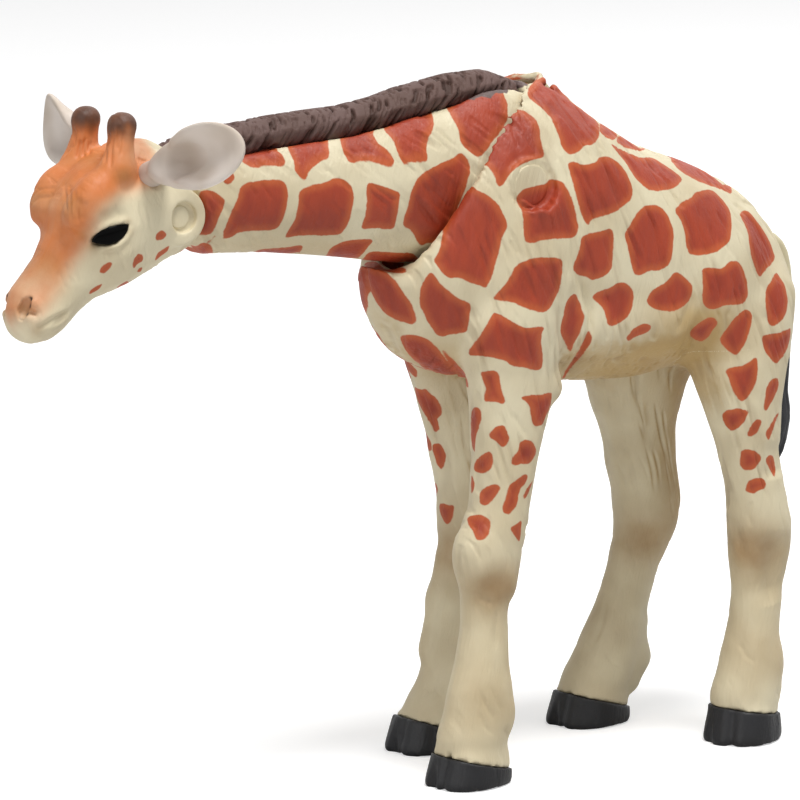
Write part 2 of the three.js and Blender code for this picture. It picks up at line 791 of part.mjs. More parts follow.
function headPiece() {
  const behind = box(
    new THREE.Vector3(-overrun, -overrun, -overrun),
    new THREE.Vector3(headPin.x - headBehindPin, overrun, overrun));
  const skull = joined([headSkin(), ...bothSides.flatMap((side) => [horn(side), brow(side)])]).subtract(behind);
  const slotHalfWidth = tongueWidth / 2 + partingGap;
  const slotRadius = tongueRadius + swingGap;
  const slotBehind = box(
    new THREE.Vector3(-overrun, -slotHalfWidth, headPin.z - slotRadius),
    new THREE.Vector3(headPin.x, slotHalfWidth, headPin.z + slotRadius));
  return cut(joined([skull, crossBar(headPin, cheekLobeRadius, cheekLobeSpan / 2)]), [
    crossBar(headPin, slotRadius, slotHalfWidth),
    slotBehind,
    crossBar(headPin, headPinRadius + glueGap, overrun, legSides),
    ...bothSides.flatMap((side) => [eye(side, glueGap), ear(side, glueGap), nostril(side)]),
  ]);
}

// The pins end short of the skin, so each shows at the bottom of a round recess
const neckPinSpanShare = 0.83;
const headPinSpanShare = 0.74;

function neckPin() {
  return crossBar(shoulderPin, neckPinRadius, bodyWidth / 2 * neckPinSpanShare);
}

function cheekPin() {
  return crossBar(headPin, headPinRadius, cheekLobeSpan / 2 * headPinSpanShare, legSides);
}

// The figure

function bodyGroup() {
  const group = new THREE.Group();
  const torso = torsoWhole();
  const pegs = torsoPegPlaces();
  group.add(meshOf('torso_left_shell', joined([leftHalf(torso), ...seamPegs(pegs)]), creamPaint));
  group.add(meshOf('torso_right_shell', cut(rightHalf(torso), seamPegs(pegs, glueGap)), creamPaint));
  legs.forEach((leg) => {
    group.add(meshOf(`${leg.name}_leg`, legPiece(leg), creamPaint));
    group.add(meshOf(`${leg.name}_hoof`, hoof(leg), hoofPlastic));
  });
  group.add(meshOf('tail', tailSkin(), tailPaint));
  group.add(meshOf('neck_pivot_pin', neckPin(), pinPlastic));
  return group;
}

function neckGroup() {
  const group = new THREE.Group();
  const neck = neckWhole();
  const pegs = neckPegPlaces();
  group.add(meshOf('neck_left_half', joined([leftHalf(neck), ...seamPegs(pegs)]), neckPaint));
  group.add(meshOf('neck_right_half', cut(rightHalf(neck), seamPegs(pegs, glueGap)), neckPaint));
  group.add(meshOf('mane', mane(), manePaint));
  return group;
}

function headGroup() {
  const group = new THREE.Group();
  group.add(meshOf('head', headPiece(), headPaint));
  group.add(meshOf('head_pivot_pin', cheekPin(), pinPlastic));
  group.add(meshOf('left_ear', ear(1), earPaint));
  group.add(meshOf('right_ear', ear(-1), earPaint));
  group.add(meshOf('left_eye', eye(1), eyePlastic));
  group.add(meshOf('right_eye', eye(-1), eyePlastic));
  return group;
}

const giraffe = new THREE.Group();
giraffe.name = 'toy_giraffe';
giraffe.add(bodyGroup(), neckGroup(), headGroup());

export default giraffe;
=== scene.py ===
"""A painted toy giraffe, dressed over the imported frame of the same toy.

The CAD nodes give each piece its place and rough form. Here they are turned into blocks of distances, smoothed,
carved and swollen like clay, and meshed again. Lengths in the classes are millimetres, and meshes are in metres.
"""

import logging
import math
from dataclasses import dataclass, field, replace
from enum import Enum
from itertools import product
from typing import ClassVar, Sequence

import bpy
import numpy as np
import openvdb
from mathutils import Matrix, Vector
from mathutils.bvhtree import BVHTree


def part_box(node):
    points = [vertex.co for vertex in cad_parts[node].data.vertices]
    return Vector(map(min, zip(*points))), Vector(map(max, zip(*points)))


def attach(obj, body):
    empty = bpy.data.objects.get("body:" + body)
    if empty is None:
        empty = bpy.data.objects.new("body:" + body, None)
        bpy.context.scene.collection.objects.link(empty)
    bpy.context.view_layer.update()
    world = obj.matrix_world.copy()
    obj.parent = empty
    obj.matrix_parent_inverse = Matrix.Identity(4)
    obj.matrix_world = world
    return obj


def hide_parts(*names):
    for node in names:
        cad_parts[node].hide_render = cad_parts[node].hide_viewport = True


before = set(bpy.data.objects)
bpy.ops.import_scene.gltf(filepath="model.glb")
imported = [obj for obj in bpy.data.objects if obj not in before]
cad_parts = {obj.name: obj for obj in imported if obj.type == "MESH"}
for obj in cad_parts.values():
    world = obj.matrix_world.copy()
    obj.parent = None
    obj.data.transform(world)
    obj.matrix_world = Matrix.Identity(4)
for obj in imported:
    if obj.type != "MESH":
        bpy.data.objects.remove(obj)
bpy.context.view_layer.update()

Array = np.ndarray
Point = tuple[float, float, float]
Outline = Sequence[float]  # pixels across and down in the camera's view, corner after corner
Spot = tuple[Point, float, float]

MM = 0.001
FAR = 100.0  # millimetres, beyond the figure on every side
BARE = -9.0  # millimetres inside a patch, where there is no patch near
SOCKET_FLOOR = 3.4  # millimetres from the middle, where the eye sockets end
PIXELS_PER_MM = 10.2  # at the trunk
PIXELS_PER_MM_OF_FACE = 10.4
GROOVE_SHADE = 0.4  # the most painted shade that darkens a hair line
LOG = logging.getLogger("giraffe")


class Body(Enum):
    """The bodies of the frame that pieces ride on."""

    TRUNK = "body"
    NECK = "neck"
    HEAD = "head"


class Zone(Enum):
    """Paint zones that are stored on the vertices, each from 0 to 1 unless a comment says otherwise."""

    PATCH = "patch"  # millimetres inside a patch's edge
    # sprayed tan, and painted shade under the body and the neck and on the legs
    TAN = "tan"
    # brown paint on the joints and the face, and on the face also painted shade in its folds and hollows
    BROWN = "brown"
    ORANGE = "orange"
    # the black tuft, dark horn tips and nostrils, and painted shade in the ears' cups and the nostril holes
    DARK = "dark"
    # painted shade in the hair lines and in the mane's grooves
    GROOVE = "groove"
    SKIN = "skin"
    MANE = "mane"  # tens of pixels above the mane's painted hem


def smoothstep(low: float, high: float, values: Array) -> Array:
    """A smooth ramp of values, from 0 at low to 1 at high."""
    t = np.clip((values - low) / (high - low), 0.0, 1.0)
    return t * t * (3 - 2 * t)


def lattice_values(cells: Array, seed: int) -> Array:
    """A fixed random number for each whole-number cell.

    Args:
        cells: whole numbers, three to a row.
        seed: another number gives other values.

    Returns:
        One value from 0 to 1 for each row.
    """
    x, y, z = (cells[:, axis].astype(np.uint32) for axis in range(3))
    mixed = x * np.uint32(374761393) + y * np.uint32(668265263) + z * np.uint32(2246822519)
    mixed = mixed + np.uint32(seed * 3266489917 % 2**32)
    mixed = (mixed ^ (mixed >> np.uint32(13))) * np.uint32(1274126177)
    mixed = mixed ^ (mixed >> np.uint32(16))
    return (mixed & np.uint32(0xFFFFFF)).astype(np.float64) / 0xFFFFFF


def smooth_noise(points: Array, seed: int) -> Array:
    """Smooth noise that changes over a distance of 1.

    Args:
        points: places, three numbers to a row.
        seed: another number gives another pattern.

    Returns:
        One value from -1 to 1 for each place.
    """
    base = np.floor(points).astype(np.int64)
    part = points - base
    part = part * part * (3 - 2 * part)
    total = np.zeros(len(points))
    for corner in product((0, 1), repeat=3):
        weight = np.prod(np.where(np.array(corner) == 1, part, 1 - part), axis=1)
        total += weight * lattice_values(base + np.array(corner), seed)
    return total * 2 - 1


def corners_of(outline: Outline) -> Array:
    """The corners of an outline, two numbers to a row."""
    return np.reshape(outline, (-1, 2)).astype(float)


def flipped(place: Point) -> Point:
    """The same place on the other side of the middle."""
    return (place[0], -place[1], place[2])


@dataclass(frozen=True)
class Blob:
    """A ball stretched along its axes.

    The long axis starts along X, dips by `dip` degrees about Y, and then turns by `turn` degrees about Z.
    """

    centre: Point
    half: Point
    dip: float = 0.0
    turn: float = 0.0

    def reach(self) -> tuple[Array, Array]:
        """The lowest and highest corner of the ball, whatever its turn."""
        widest = max(self.half)
        return np.array(self.centre) - widest, np.array(self.centre) + widest

    def distance(self, x: Array, y: Array, z: Array) -> Array:
        """How far each place is from the ball's skin.

        Args:
            x, y, z: places along the axes.

        Returns:
            Distances in millimetres, negative inside.
        """
        dip, turn = math.radians(self.dip), math.radians(self.turn)
        dx, dy, dz = x - self.centre[0], y - self.centre[1], z - self.centre[2]
        level = dx * math.cos(turn) + dy * math.sin(turn)
        aside = dy * math.cos(turn) - dx * math.sin(turn)
        along = level * math.cos(dip) - dz * math.sin(dip)
        over = level * math.sin(dip) + dz * math.cos(dip)
        a, b, c = self.half
        whole = np.sqrt((along / a) ** 2 + (aside / b) ** 2 + (over / c) ** 2)
        slope = np.sqrt((along / a**2) ** 2 + (aside / b**2) ** 2 + (over / c**2) ** 2)
        return whole * (whole - 1) / np.maximum(slope, 1e-6)

    def mirrored(self) -> "Blob":
        """The same ball on the other side of the middle."""
        return replace(self, centre=flipped(self.centre), turn=-self.turn)


@dataclass(frozen=True)
class Rod:
    """A round rod with its own radius at each end."""

    start: Point
    end: Point
    start_radius: float
    end_radius: float

    def reach(self) -> tuple[Array, Array]:
        """The lowest and highest corner of the rod."""
        ends, widest = np.array([self.start, self.end]), max(self.start_radius, self.end_radius)
        return ends.min(0) - widest, ends.max(0) + widest

    def distance(self, x: Array, y: Array, z: Array) -> Array:
        """How far each place is from the rod's skin.

        Args:
            x, y, z: places along the axes.

        Returns:
            Distances in millimetres, negative inside.
        """
        start, run = np.array(self.start), np.array(self.end) - np.array(self.start)
        dx, dy, dz = x - start[0], y - start[1], z - start[2]
        share = np.clip((dx * run[0] + dy * run[1] + dz * run[2]) / (run @ run), 0.0, 1.0)
        gap = np.sqrt((dx - share * run[0]) ** 2 + (dy - share * run[1]) ** 2 + (dz - share * run[2]) ** 2)
        return gap - (self.start_radius + share * (self.end_radius - self.start_radius))

    def mirrored(self) -> "Rod":
        """The same rod on the other side of the middle."""
        return replace(self, start=flipped(self.start), end=flipped(self.end))


@dataclass(frozen=True)
class Drum:
    """A round disc that lies along Y, with flat ends."""

    centre: Point
    radius: float
    half: float

    def reach(self) -> tuple[Array, Array]:
        """The lowest and highest corner of the disc."""
        size = np.array([self.radius, self.half, self.radius])
        return np.array(self.centre) - size, np.array(self.centre) + size

    def distance(self, x: Array, y: Array, z: Array) -> Array:
        """How far each place is from the disc's skin.

        Args:
            x, y, z: places along the axes.

        Returns:
            Distances in millimetres, negative inside.
        """
        side = np.sqrt((x - self.centre[0]) ** 2 + (z - self.centre[2]) ** 2) - self.radius
        end = np.abs(y - self.centre[1]) - self.half
        return np.minimum(np.maximum(side, end), 0.0) + np.hypot(np.maximum(side, 0.0), np.maximum(end, 0.0))

    def mirrored(self) -> "Drum":
        """The same disc on the other side of the middle."""
        return replace(self, centre=flipped(self.centre))


@dataclass(frozen=True)
class Hem:
    """Where a leg ends on its hoof: a slanted plane near the hoof's middle."""

    middle: tuple[float, float]
    front: float
    slope: float
    reach: float = 8.0

    def height(self, x: Array) -> Array:
        """The hem's height at places along X."""
        return self.front + (x - self.middle[0]) * self.slope


Solid = Blob | Rod | Drum


def both_sides(shapes: Sequence[Solid]) -> list[Solid]:
    """Each form, and its mirror image."""
    return [*shapes, *(shape.mirrored() for shape in shapes)]


def chain(points: Sequence[Point], radii: Sequence[float]) -> list[Rod]:
    """Rods from point to point, with a radius at each."""
    places = list(zip(points, radii))
    return [Rod(a, b, a_radius, b_radius) for (a, a_radius), (b, b_radius) in zip(places, places[1:])]


def sprayed(places: Array, shapes: Sequence[Solid], soft: float) -> Array:
    """How much paint lands on each place, from 1 inside the forms to 0 at a distance.

    Args:
        places: points in millimetres.
        shapes: the forms that are painted.
        soft: the distance in millimetres over which the paint fades, half of it inside.

    Returns:
        Shares of full paint.
    """
    nearest = np.full(len(places), FAR)
    for shape in shapes:
        nearest = np.minimum(nearest, shape.distance(places[:, 0], places[:, 1], places[:, 2]))
    return 1 - smoothstep(-soft / 2, soft / 2, nearest)


def soft_min(a: Array, b: Array, soft: float) -> Array:
    """The lesser of two distances, with a joint rounded over a width in millimetres."""
    share = np.clip(0.5 + 0.5 * (b - a) / soft, 0.0, 1.0)
    return b + (a - b) * share - soft * share * (1 - share)


def read(items: bpy.types.bpy_prop_collection, name: str, width: int, kind: type = float) -> Array:
    """The numbers that the items of a mesh hold.

    Args:
        items: its vertices, edges, loops, triangles or attribute values.
        name: which of their properties.
        width: how many numbers each item has.
        kind: the type of the numbers.

    Returns:
        The numbers, one row for each item.
    """
    numbers = np.zeros(len(items) * width, kind)
    items.foreach_get(name, numbers)
    return numbers.reshape(-1, width)


def triangles_of(node: bpy.types.Object) -> tuple[Array, Array]:
    """The mesh of a CAD node.

    Args:
        node: the node's object.

    Returns:
        Its corners in millimetres, and three indices for each of its triangles.
    """
    node.data.calc_loop_triangles()
    places = read(node.data.vertices, "co", 3, np.float32) / MM
    return places, read(node.data.loop_triangles, "vertices", 3, np.int32).astype(np.uint32)


@dataclass
class Block:
    """A block of distances to a surface, negative inside.

    The voxel is the step between two distances. The band is how far from the surface they stay true.
    """

    low: Array
    voxel: float
    values: Array
    band: float

    @classmethod
    def of_nodes(cls, names: Sequence[str], voxel: float, band: float, margin: float = 2.0) -> "Block":
        """A block that holds CAD nodes.

        Args:
            names: the nodes.
            voxel: step in millimetres.
            band: reach of true distances in millimetres.
            margin: room round the nodes in millimetres.

        Returns:
            The block with all the nodes in it.
        """
        corners = [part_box(name) for name in names]
        low = np.array([box[0] for box in corners]).min(0) / MM - margin
        high = np.array([box[1] for box in corners]).max(0) / MM + margin
        shape = tuple(int(count) for count in np.ceil((high - low) / voxel))
        block = cls(low, voxel, np.full(shape, band, np.float32), band)
        for name in names:
            block.add_node(name)
        return block

    def add_node(self, name: str) -> None:
        """Adds a CAD node.

        Args:
            name: the node.
        """
        places, triangles = triangles_of(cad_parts[name])
        steps = ((places - self.low) / self.voxel).astype(np.float32)
        grid = openvdb.FloatGrid.createLevelSetFromPolygons(
            steps, triangles=triangles, halfWidth=self.band / self.voxel)
        found = np.full(self.values.shape, self.band / self.voxel, np.float32)
        grid.copyToArray(found, ijk=(0, 0, 0))
        self.values = np.minimum(self.values, found * self.voxel)

    def axes(self) -> tuple[Array, Array, Array]:
        """The places along X, Y and Z, shaped to combine into the block."""
        x, y, z = (self.low[axis] + self.voxel * np.arange(self.values.shape[axis]) for axis in range(3))
        return x[:, None, None], y[None, :, None], z[None, None, :]

    def smooth(self, radius: float, most: float = 9.0) -> None:
        """Blurs the distances, which rounds edges and takes out facets.

        Args:
            radius: the blur's standard deviation in millimetres.
            most: how far the skin may move in millimetres, which keeps lips and thin walls.
        """
        sharp = self.values
        sigma = radius / self.voxel
        steps = int(math.ceil(2.5 * sigma))
        weights = np.exp(-0.5 * (np.arange(-steps, steps + 1) / sigma) ** 2)
        weights /= weights.sum()
        for axis in range(3):
            blurred = np.zeros_like(self.values)
            for step, weight in zip(range(-steps, steps + 1), weights):
                blurred += np.float32(weight) * np.roll(self.values, step, axis)
            self.values = blurred
        self.values = np.clip(self.values, sharp - np.float32(most), sharp + np.float32(most))

    def grow(self, by: float) -> None:
        """Moves the skin outwards by a distance in millimetres."""
        self.values -= np.float32(by)

    def _window(self, shape: Solid, margin: float) -> tuple[slice, slice, slice]:
        """The part of the block near a form.

        Args:
            shape: the form.
            margin: room round the form, in millimetres.

        Returns:
            The range of steps along each axis.
        """
        low, high = shape.reach()
        first = np.floor((low - margin - self.low) / self.voxel).astype(int)
        last = np.ceil((high + margin - self.low) / self.voxel).astype(int) + 1
        limits = zip(first, last, self.values.shape)
        return tuple(slice(max(a, 0), max(min(b, size), 0)) for a, b, size in limits)

    def _distance(self, shape: Solid, window: tuple[slice, slice, slice]) -> Array:
        """How far the places of a part of the block are from a form."""
        x, y, z = self.axes()
        return shape.distance(x[window[0]], y[:, window[1]], z[:, :, window[2]]).astype(np.float32)

    def add(self, shapes: Sequence[Solid], soft: float) -> None:
        """Adds forms.

        Args:
            shapes: the forms.
            soft: width of the rounding where they join, in millimetres.
        """
        for shape in shapes:
            window = self._window(shape, soft * 2)
            self.values[window] = soft_min(self.values[window], self._distance(shape, window), soft)

    def carve(self, shapes: Sequence[Solid], soft: float) -> None:
        """Carves forms out.

        Args:
            shapes: the forms.
            soft: width of the rounding at their edges, in millimetres.
        """
        self.values = -self.values
        self.add(shapes, soft)
        self.values = -self.values

    def trim(self, hem: Hem, above: bool) -> None:
        """Cuts a leg and its hoof apart at the hem.

        Args:
            hem: where the leg ends.
            above: True keeps the leg, False keeps the hoof.
        """
        x, y, z = self.axes()
        over = (z - hem.height(x)) * (-1.0 if above else 1.0)
        near = (np.abs(x - hem.middle[0]) < hem.reach) & (np.abs(y - hem.middle[1]) < hem.reach) & (z < hem.reach)
        self.values = np.where(near, np.maximum(self.values, over), self.values).astype(np.float32)

    def outside_opening(self, opening: Outline) -> Array:
        """How far each place of the block is outside an opening that is drawn in the camera's view.

        Args:
            opening: the outline in pixels, on the near side; the far side has its mirror image.

        Returns:
            Distances in millimetres, negative inside.
        """
        x, y, z = np.broadcast_arrays(*self.axes())
        places = np.stack([x.ravel(), np.abs(y).ravel(), z.ravel()], axis=1)
        depth = depth_in_outline(CAMERA.seen(places), corners_of(opening))
        return (-depth / PIXELS_PER_MM_OF_FACE).reshape(self.values.shape)

    def carve_opening(self, opening: Outline, ball: Blob, grow: float) -> None:
        """Carves an opening on both sides down to a ball.

        Args:
            opening: its outline in the camera's view, in pixels.
            ball: the ball behind it, on the near side.
            grow: how much wider and deeper the opening is, in millimetres.
        """
        window = self._window(ball, 1.0)
        window = (window[0], slice(None), window[2])
        x, y, z = self.axes()
        part = Block(np.array([x[window[0]].min(), y.min(), z[:, :, window[2]].min()]), self.voxel,
                     self.values[window], self.band)
        near = part.axes()
        hollow = np.maximum(part.outside_opening(opening) - grow, SOCKET_FLOOR - np.abs(near[1]))
        hollow = np.maximum(hollow, -(ball.distance(near[0], np.abs(near[1]), near[2]) + 0.5))
        self.values[window] = np.maximum(self.values[window], -hollow)

    def surface(self) -> "Surface":
        """The skin of the largest solid in the block.

        Returns:
            The skin as a mesh of quads.
        """
        grid = openvdb.FloatGrid(float(self.band))
        grid.copyFromArray(self.values)
        places, faces = grid.convertToQuads(isovalue=0.0)
        places, faces = largest_part(places.astype(np.float64), faces.astype(np.int64))
        return Surface(self.low + places * self.voxel, faces).facing_out()


def largest_part(places: Array, faces: Array) -> tuple[Array, Array]:
    """The largest connected part of a mesh.

    Args:
        places: the vertices.
        faces: vertex indices of each face.

    Returns:
        The vertices and faces of that part.
    """
    labels = np.arange(len(places))
    while True:
        lowest = np.repeat(labels[faces].min(axis=1), faces.shape[1])
        fresh = labels.copy()
        np.minimum.at(fresh, faces.ravel(), lowest)
        fresh = fresh[fresh]
        if np.array_equal(fresh, labels):
            break
        labels = fresh
    kept = labels == np.bincount(labels).argmax()
    renumbered = np.cumsum(kept) - 1
    return places[kept], renumbered[faces[kept[faces[:, 0]]]]


@dataclass
class Surface:
    """A mesh in millimetres, before it becomes a Blender object."""

    places: Array
    faces: Array

    def facing_out(self) -> "Surface":
        """Turns the faces outwards.

        Returns:
            This same mesh.
        """
        a, b, c = (self.places[self.faces[:, corner]] for corner in range(3))
        if np.einsum("ij,ij->i", a, np.cross(b, c)).sum() < 0:
            self.faces = self.faces[:, ::-1].copy()
        return self

    def tree(self) -> BVHTree:
        """The mesh as a tree to cast rays at, in metres."""
        return BVHTree.FromPolygons([tuple(place) for place in (self.places * MM).tolist()], self.faces.tolist())

    def places_seen(self, line: Outline) -> Array:
        """The places on the mesh behind pixels of the camera's view, in millimetres."""
        return CAMERA.traced(self.tree(), corners_of(line))

    def normals(self) -> Array:
        """The unit normal at each vertex.

        Returns:
            Three numbers to a row.
        """
        corners = [self.places[self.faces[:, corner]] for corner in range(self.faces.shape[1])]
        face_normals = np.cross(corners[2] - corners[0], corners[-1] - corners[1])
        total = np.zeros_like(self.places)
        for corner in range(self.faces.shape[1]):
            np.add.at(total, self.faces[:, corner], face_normals)
        return total / np.maximum(np.linalg.norm(total, axis=1, keepdims=True), 1e-12)

    def refined(self) -> "Surface":
        """The same mesh with each face split once and the whole smoothed.

        Returns:
            The finer mesh.
        """
        piece = self.as_object("refining")
        subdivision = piece.modifiers.new("subdivision", "SUBSURF")
        subdivision.levels = 1
        subdivision.render_levels = 1
        fine = Surface.of_object(piece)
        bpy.data.objects.remove(piece)
        return fine

    @classmethod
    def of_object(cls, piece: bpy.types.Object) -> "Surface":
        """The mesh of a piece with its modifiers applied.

        Args:
            piece: an object whose faces all have the same number of corners.

        Returns:
            Its mesh in millimetres.
        """
        bpy.context.view_layer.update()
        evaluated = piece.evaluated_get(bpy.context.evaluated_depsgraph_get())
        mesh = evaluated.to_mesh()
        places = read(mesh.vertices, "co", 3) / MM
        faces = read(mesh.loops, "vertex_index", 1, np.int32).reshape(len(mesh.polygons), -1).astype(np.int64)
        evaluated.to_mesh_clear()
        return cls(places, faces)

    def mirror(self) -> None:
        """Moves the mesh to the other side of the middle."""
        self.places[:, 1] *= -1.0
        self.faces = self.faces[:, ::-1].copy()

    def as_object(self, name: str) -> bpy.types.Object:
        """A smooth-shaded Blender object.

        Args:
            name: the object's name.

        Returns:
            The object, linked to the scene.
        """
        mesh = bpy.data.meshes.new(name)
        mesh.from_pydata((self.places * MM).tolist(), [], self.faces.tolist())
        mesh.polygons.foreach_set("use_smooth", np.ones(len(mesh.polygons), bool))
        mesh.update()
        piece = bpy.data.objects.new(name, mesh)
        bpy.context.scene.collection.objects.link(piece)
        return piece


def vertex_places(piece: bpy.types.Object) -> Array:
    """The vertices of a piece in millimetres."""
    return read(piece.data.vertices, "co", 3) / MM


def vertex_normals(piece: bpy.types.Object) -> Array:
    """The unit normals at the vertices of a piece."""
    return read(piece.data.vertices, "normal", 3)


def store_zone(piece: bpy.types.Object, zone: Zone, values: Array) -> None:
    """Writes a paint zone on a piece, one value for each vertex."""
    attribute = piece.data.attributes.new(zone.value, "FLOAT", "POINT")
    attribute.data.foreach_set("value", values.astype(np.float32))


def split(piece: bpy.types.Object, cutter: bpy.types.Object, name: str, inside: bool) -> bpy.types.Object:
    """Cuts a piece with a closed cutter.

    Args:
        piece: the piece, which stays as it is.
        cutter: the closed form to cut with.
        name: the new piece's name.
        inside: True keeps what is inside the cutter, False keeps the rest.

    Returns:
        The new piece.
    """
    part = piece.copy()
    part.data = piece.data.copy()
    part.name = name
    bpy.context.scene.collection.objects.link(part)
    boolean = part.modifiers.new("split", "BOOLEAN")
    boolean.object = cutter
    boolean.operation = "INTERSECT" if inside else "DIFFERENCE"
    boolean.solver = "MANIFOLD"
    bpy.context.view_layer.update()
    evaluated = part.evaluated_get(bpy.context.evaluated_depsgraph_get())
    mesh = bpy.data.meshes.new_from_object(evaluated)
    mesh.name = name
    part.modifiers.clear()
    part.data = mesh
    heal_zones(mesh)
    mesh.polygons.foreach_set("use_smooth", np.ones(len(mesh.polygons), bool))
    mesh.set_sharp_from_angle(angle=math.radians(50))
    return part


def heal_zones(mesh: bpy.types.Mesh) -> None:
    """Gives the vertices that a cut has added the zone values of the skin beside them.

    Args:
        mesh: the mesh after the cut. Its old vertices have a SKIN value of 1.
    """
    skin = mesh.attributes.get(Zone.SKIN.value)
    if skin is None:
        return
    old = read(skin.data, "value", 1)[:, 0] > 0.5
    ends = read(mesh.edges, "vertices", 2, np.int32)
    ends = np.concatenate((ends, ends[:, ::-1]))
    added, beside = ends[~old[ends[:, 0]] & old[ends[:, 1]]].T
    count = np.bincount(added, minlength=len(old))
    for zone in (Zone.TAN, Zone.BROWN, Zone.GROOVE):
        attribute = mesh.attributes.get(zone.value)
        if attribute is not None:
            values = read(attribute.data, "value", 1)[:, 0]
            total = np.bincount(added, values[beside], len(old))
            healed = np.where(count > 0, total / np.maximum(count, 1), values)
            attribute.data.foreach_set("value", healed.astype(np.float32))


def halves(whole: bpy.types.Object, stem: str) -> list[tuple[str, bpy.types.Object]]:
    """Cuts a piece in two along the middle.

    Args:
        whole: the piece, which is removed.
        stem: how the names of its halves start.

    Returns:
        Each side and its half.
    """
    found = []
    for side, low, high in (("left", 0.0, FAR), ("right", -FAR, 0.0)):
        corners = np.array(list(product((-FAR, FAR), (low, high), (-10.0, FAR))))
        faces = np.array([[0, 1, 3, 2], [4, 6, 7, 5], [0, 4, 5, 1], [2, 3, 7, 6], [0, 2, 6, 4], [1, 5, 7, 3]])
        cutter = Surface(corners, faces).facing_out().as_object("half_space")
        found.append((side, split(whole, cutter, f"{stem}_{side}_painted", True)))
        bpy.data.objects.remove(cutter)
    bpy.data.objects.remove(whole)
    return found


@dataclass(frozen=True)
class PhotoCamera:
    """The camera, which stands where the figure was seen from.

    The target and the distance are in millimetres, the angles in degrees.
    """

    target: Point = (-4.5, -9.4, 35.5)
    distance: float = 600.0
    yaw: float = 35.0
    elevation: float = 9.3
    lens: float = 270.0
    sensor: float = 36.0
    pixels: int = 800

    def backward(self) -> Array:
        """The unit vector from the target to the camera."""
        yaw, rise = math.radians(self.yaw), math.radians(self.elevation)
        return np.array([math.sin(yaw) * math.cos(rise), math.cos(yaw) * math.cos(rise), math.sin(rise)])

    def eye(self) -> Array:
        """The camera's place in millimetres."""
        return np.array(self.target) + self.backward() * self.distance

    def rightward(self) -> Array:
        """The unit vector towards the right of the view."""
        yaw = math.radians(self.yaw)
        return np.array([-math.cos(yaw), math.sin(yaw), 0.0])

    def upward(self) -> Array:
        """The unit vector towards the top of the view."""
        return np.cross(self.backward(), self.rightward())

    def focal(self) -> float:
        """The distance at which a pixel is as wide as a millimetre."""
        return self.lens / self.sensor * self.pixels

    def aside(self, step: Array) -> Array:
        """A step in pixels, across and down, as millimetres at the target's distance."""
        return (self.rightward() * step[0] - self.upward() * step[1]) * self.distance / self.focal()

    def ray(self, across: float, down: float) -> Array:
        """The unit vector of a sight line.

        Args:
            across: pixels from the left of the view.
            down: pixels from the top of the view.

        Returns:
            Its direction.
        """
        middle = self.pixels / 2
        line = self.rightward() * (across - middle) - self.upward() * (down - middle) - self.backward() * self.focal()
        return line / np.linalg.norm(line)

    def traced(self, tree: BVHTree, line: Array) -> Array:
        """The places on a surface behind pixels.

        Args:
            tree: the surface.
            line: pixels across and down, two numbers to a row.

        Returns:
            Places in millimetres, where there are any.
        """
        eye = Vector(self.eye() * MM)
        hits = [tree.ray_cast(eye, Vector(self.ray(across, down)))[0] for across, down in line]
        return np.array([np.array(hit) / MM for hit in hits if hit is not None])

    def seen(self, places: Array) -> Array:
        """Where places appear in the view.

        Args:
            places: points in millimetres.

        Returns:
            Pixels across and down, two numbers to a row.
        """
        offsets = places - self.eye()
        scale = self.focal() / -(offsets @ self.backward())
        across, down = offsets @ self.rightward() * scale, -(offsets @ self.upward()) * scale
        return np.stack([across, down], axis=1) + self.pixels / 2

    def seen_near(self, places: Array) -> Array:
        """The same, with places on the far side mirrored to the near side."""
        return self.seen(places * np.where(places[:, 1:2] < 0, [1.0, -1.0, 1.0], 1.0))

    def build(self) -> bpy.types.Object:
        """The scene's camera.

        Returns:
            The camera object, which is the one that renders.
        """
        data = bpy.data.cameras.new("camera")
        data.lens = self.lens
        data.sensor_width = self.sensor
        data.clip_start = 0.05
        data.clip_end = 20.0
        camera = bpy.data.objects.new("camera", data)
        camera.location = Vector(self.eye() * MM)
        camera.rotation_mode = "QUATERNION"
        camera.rotation_quaternion = Vector(-self.backward()).to_track_quat("-Z", "Y")
        bpy.context.scene.collection.objects.link(camera)
        bpy.context.scene.camera = camera
        return camera


CAMERA = PhotoCamera()


def rounded(outline: Outline) -> Array:
    """An outline with its corners cut twice.

    Args:
        outline: a closed outline.

    Returns:
        Its corners, four times as many, two numbers to a row.
    """
    points = list(corners_of(outline))
    for _ in range(2):
        following = points[1:] + points[:1]
        points = [a + (b - a) * share for a, b in zip(points, following) for share in (0.22, 0.78)]
    return np.array(points)


def depth_in_outline(flat: Array, rim: Array) -> Array:
    """How far flat places are inside a closed outline.

    Args:
        flat: places, two numbers to a row.
        rim: the outline's corners.

    Returns:
        Distances to the outline, negative outside.
    """
    inside = np.zeros(len(flat), bool)
    nearest = np.full(len(flat), np.inf)
    for a, b in zip(rim, np.roll(rim, -1, axis=0)):
        run = b - a
        share = np.clip((flat - a) @ run / max(run @ run, 1e-9), 0.0, 1.0)
        nearest = np.minimum(nearest, np.linalg.norm(flat - a - share[:, None] * run, axis=1))
        crossing = (a[1] > flat[:, 1]) != (b[1] > flat[:, 1])
        slope = run[0] / run[1] if abs(run[1]) > 1e-12 else 0.0
        inside ^= crossing & (flat[:, 0] < a[0] + (flat[:, 1] - a[1]) * slope)
    return np.where(inside, nearest, -nearest)


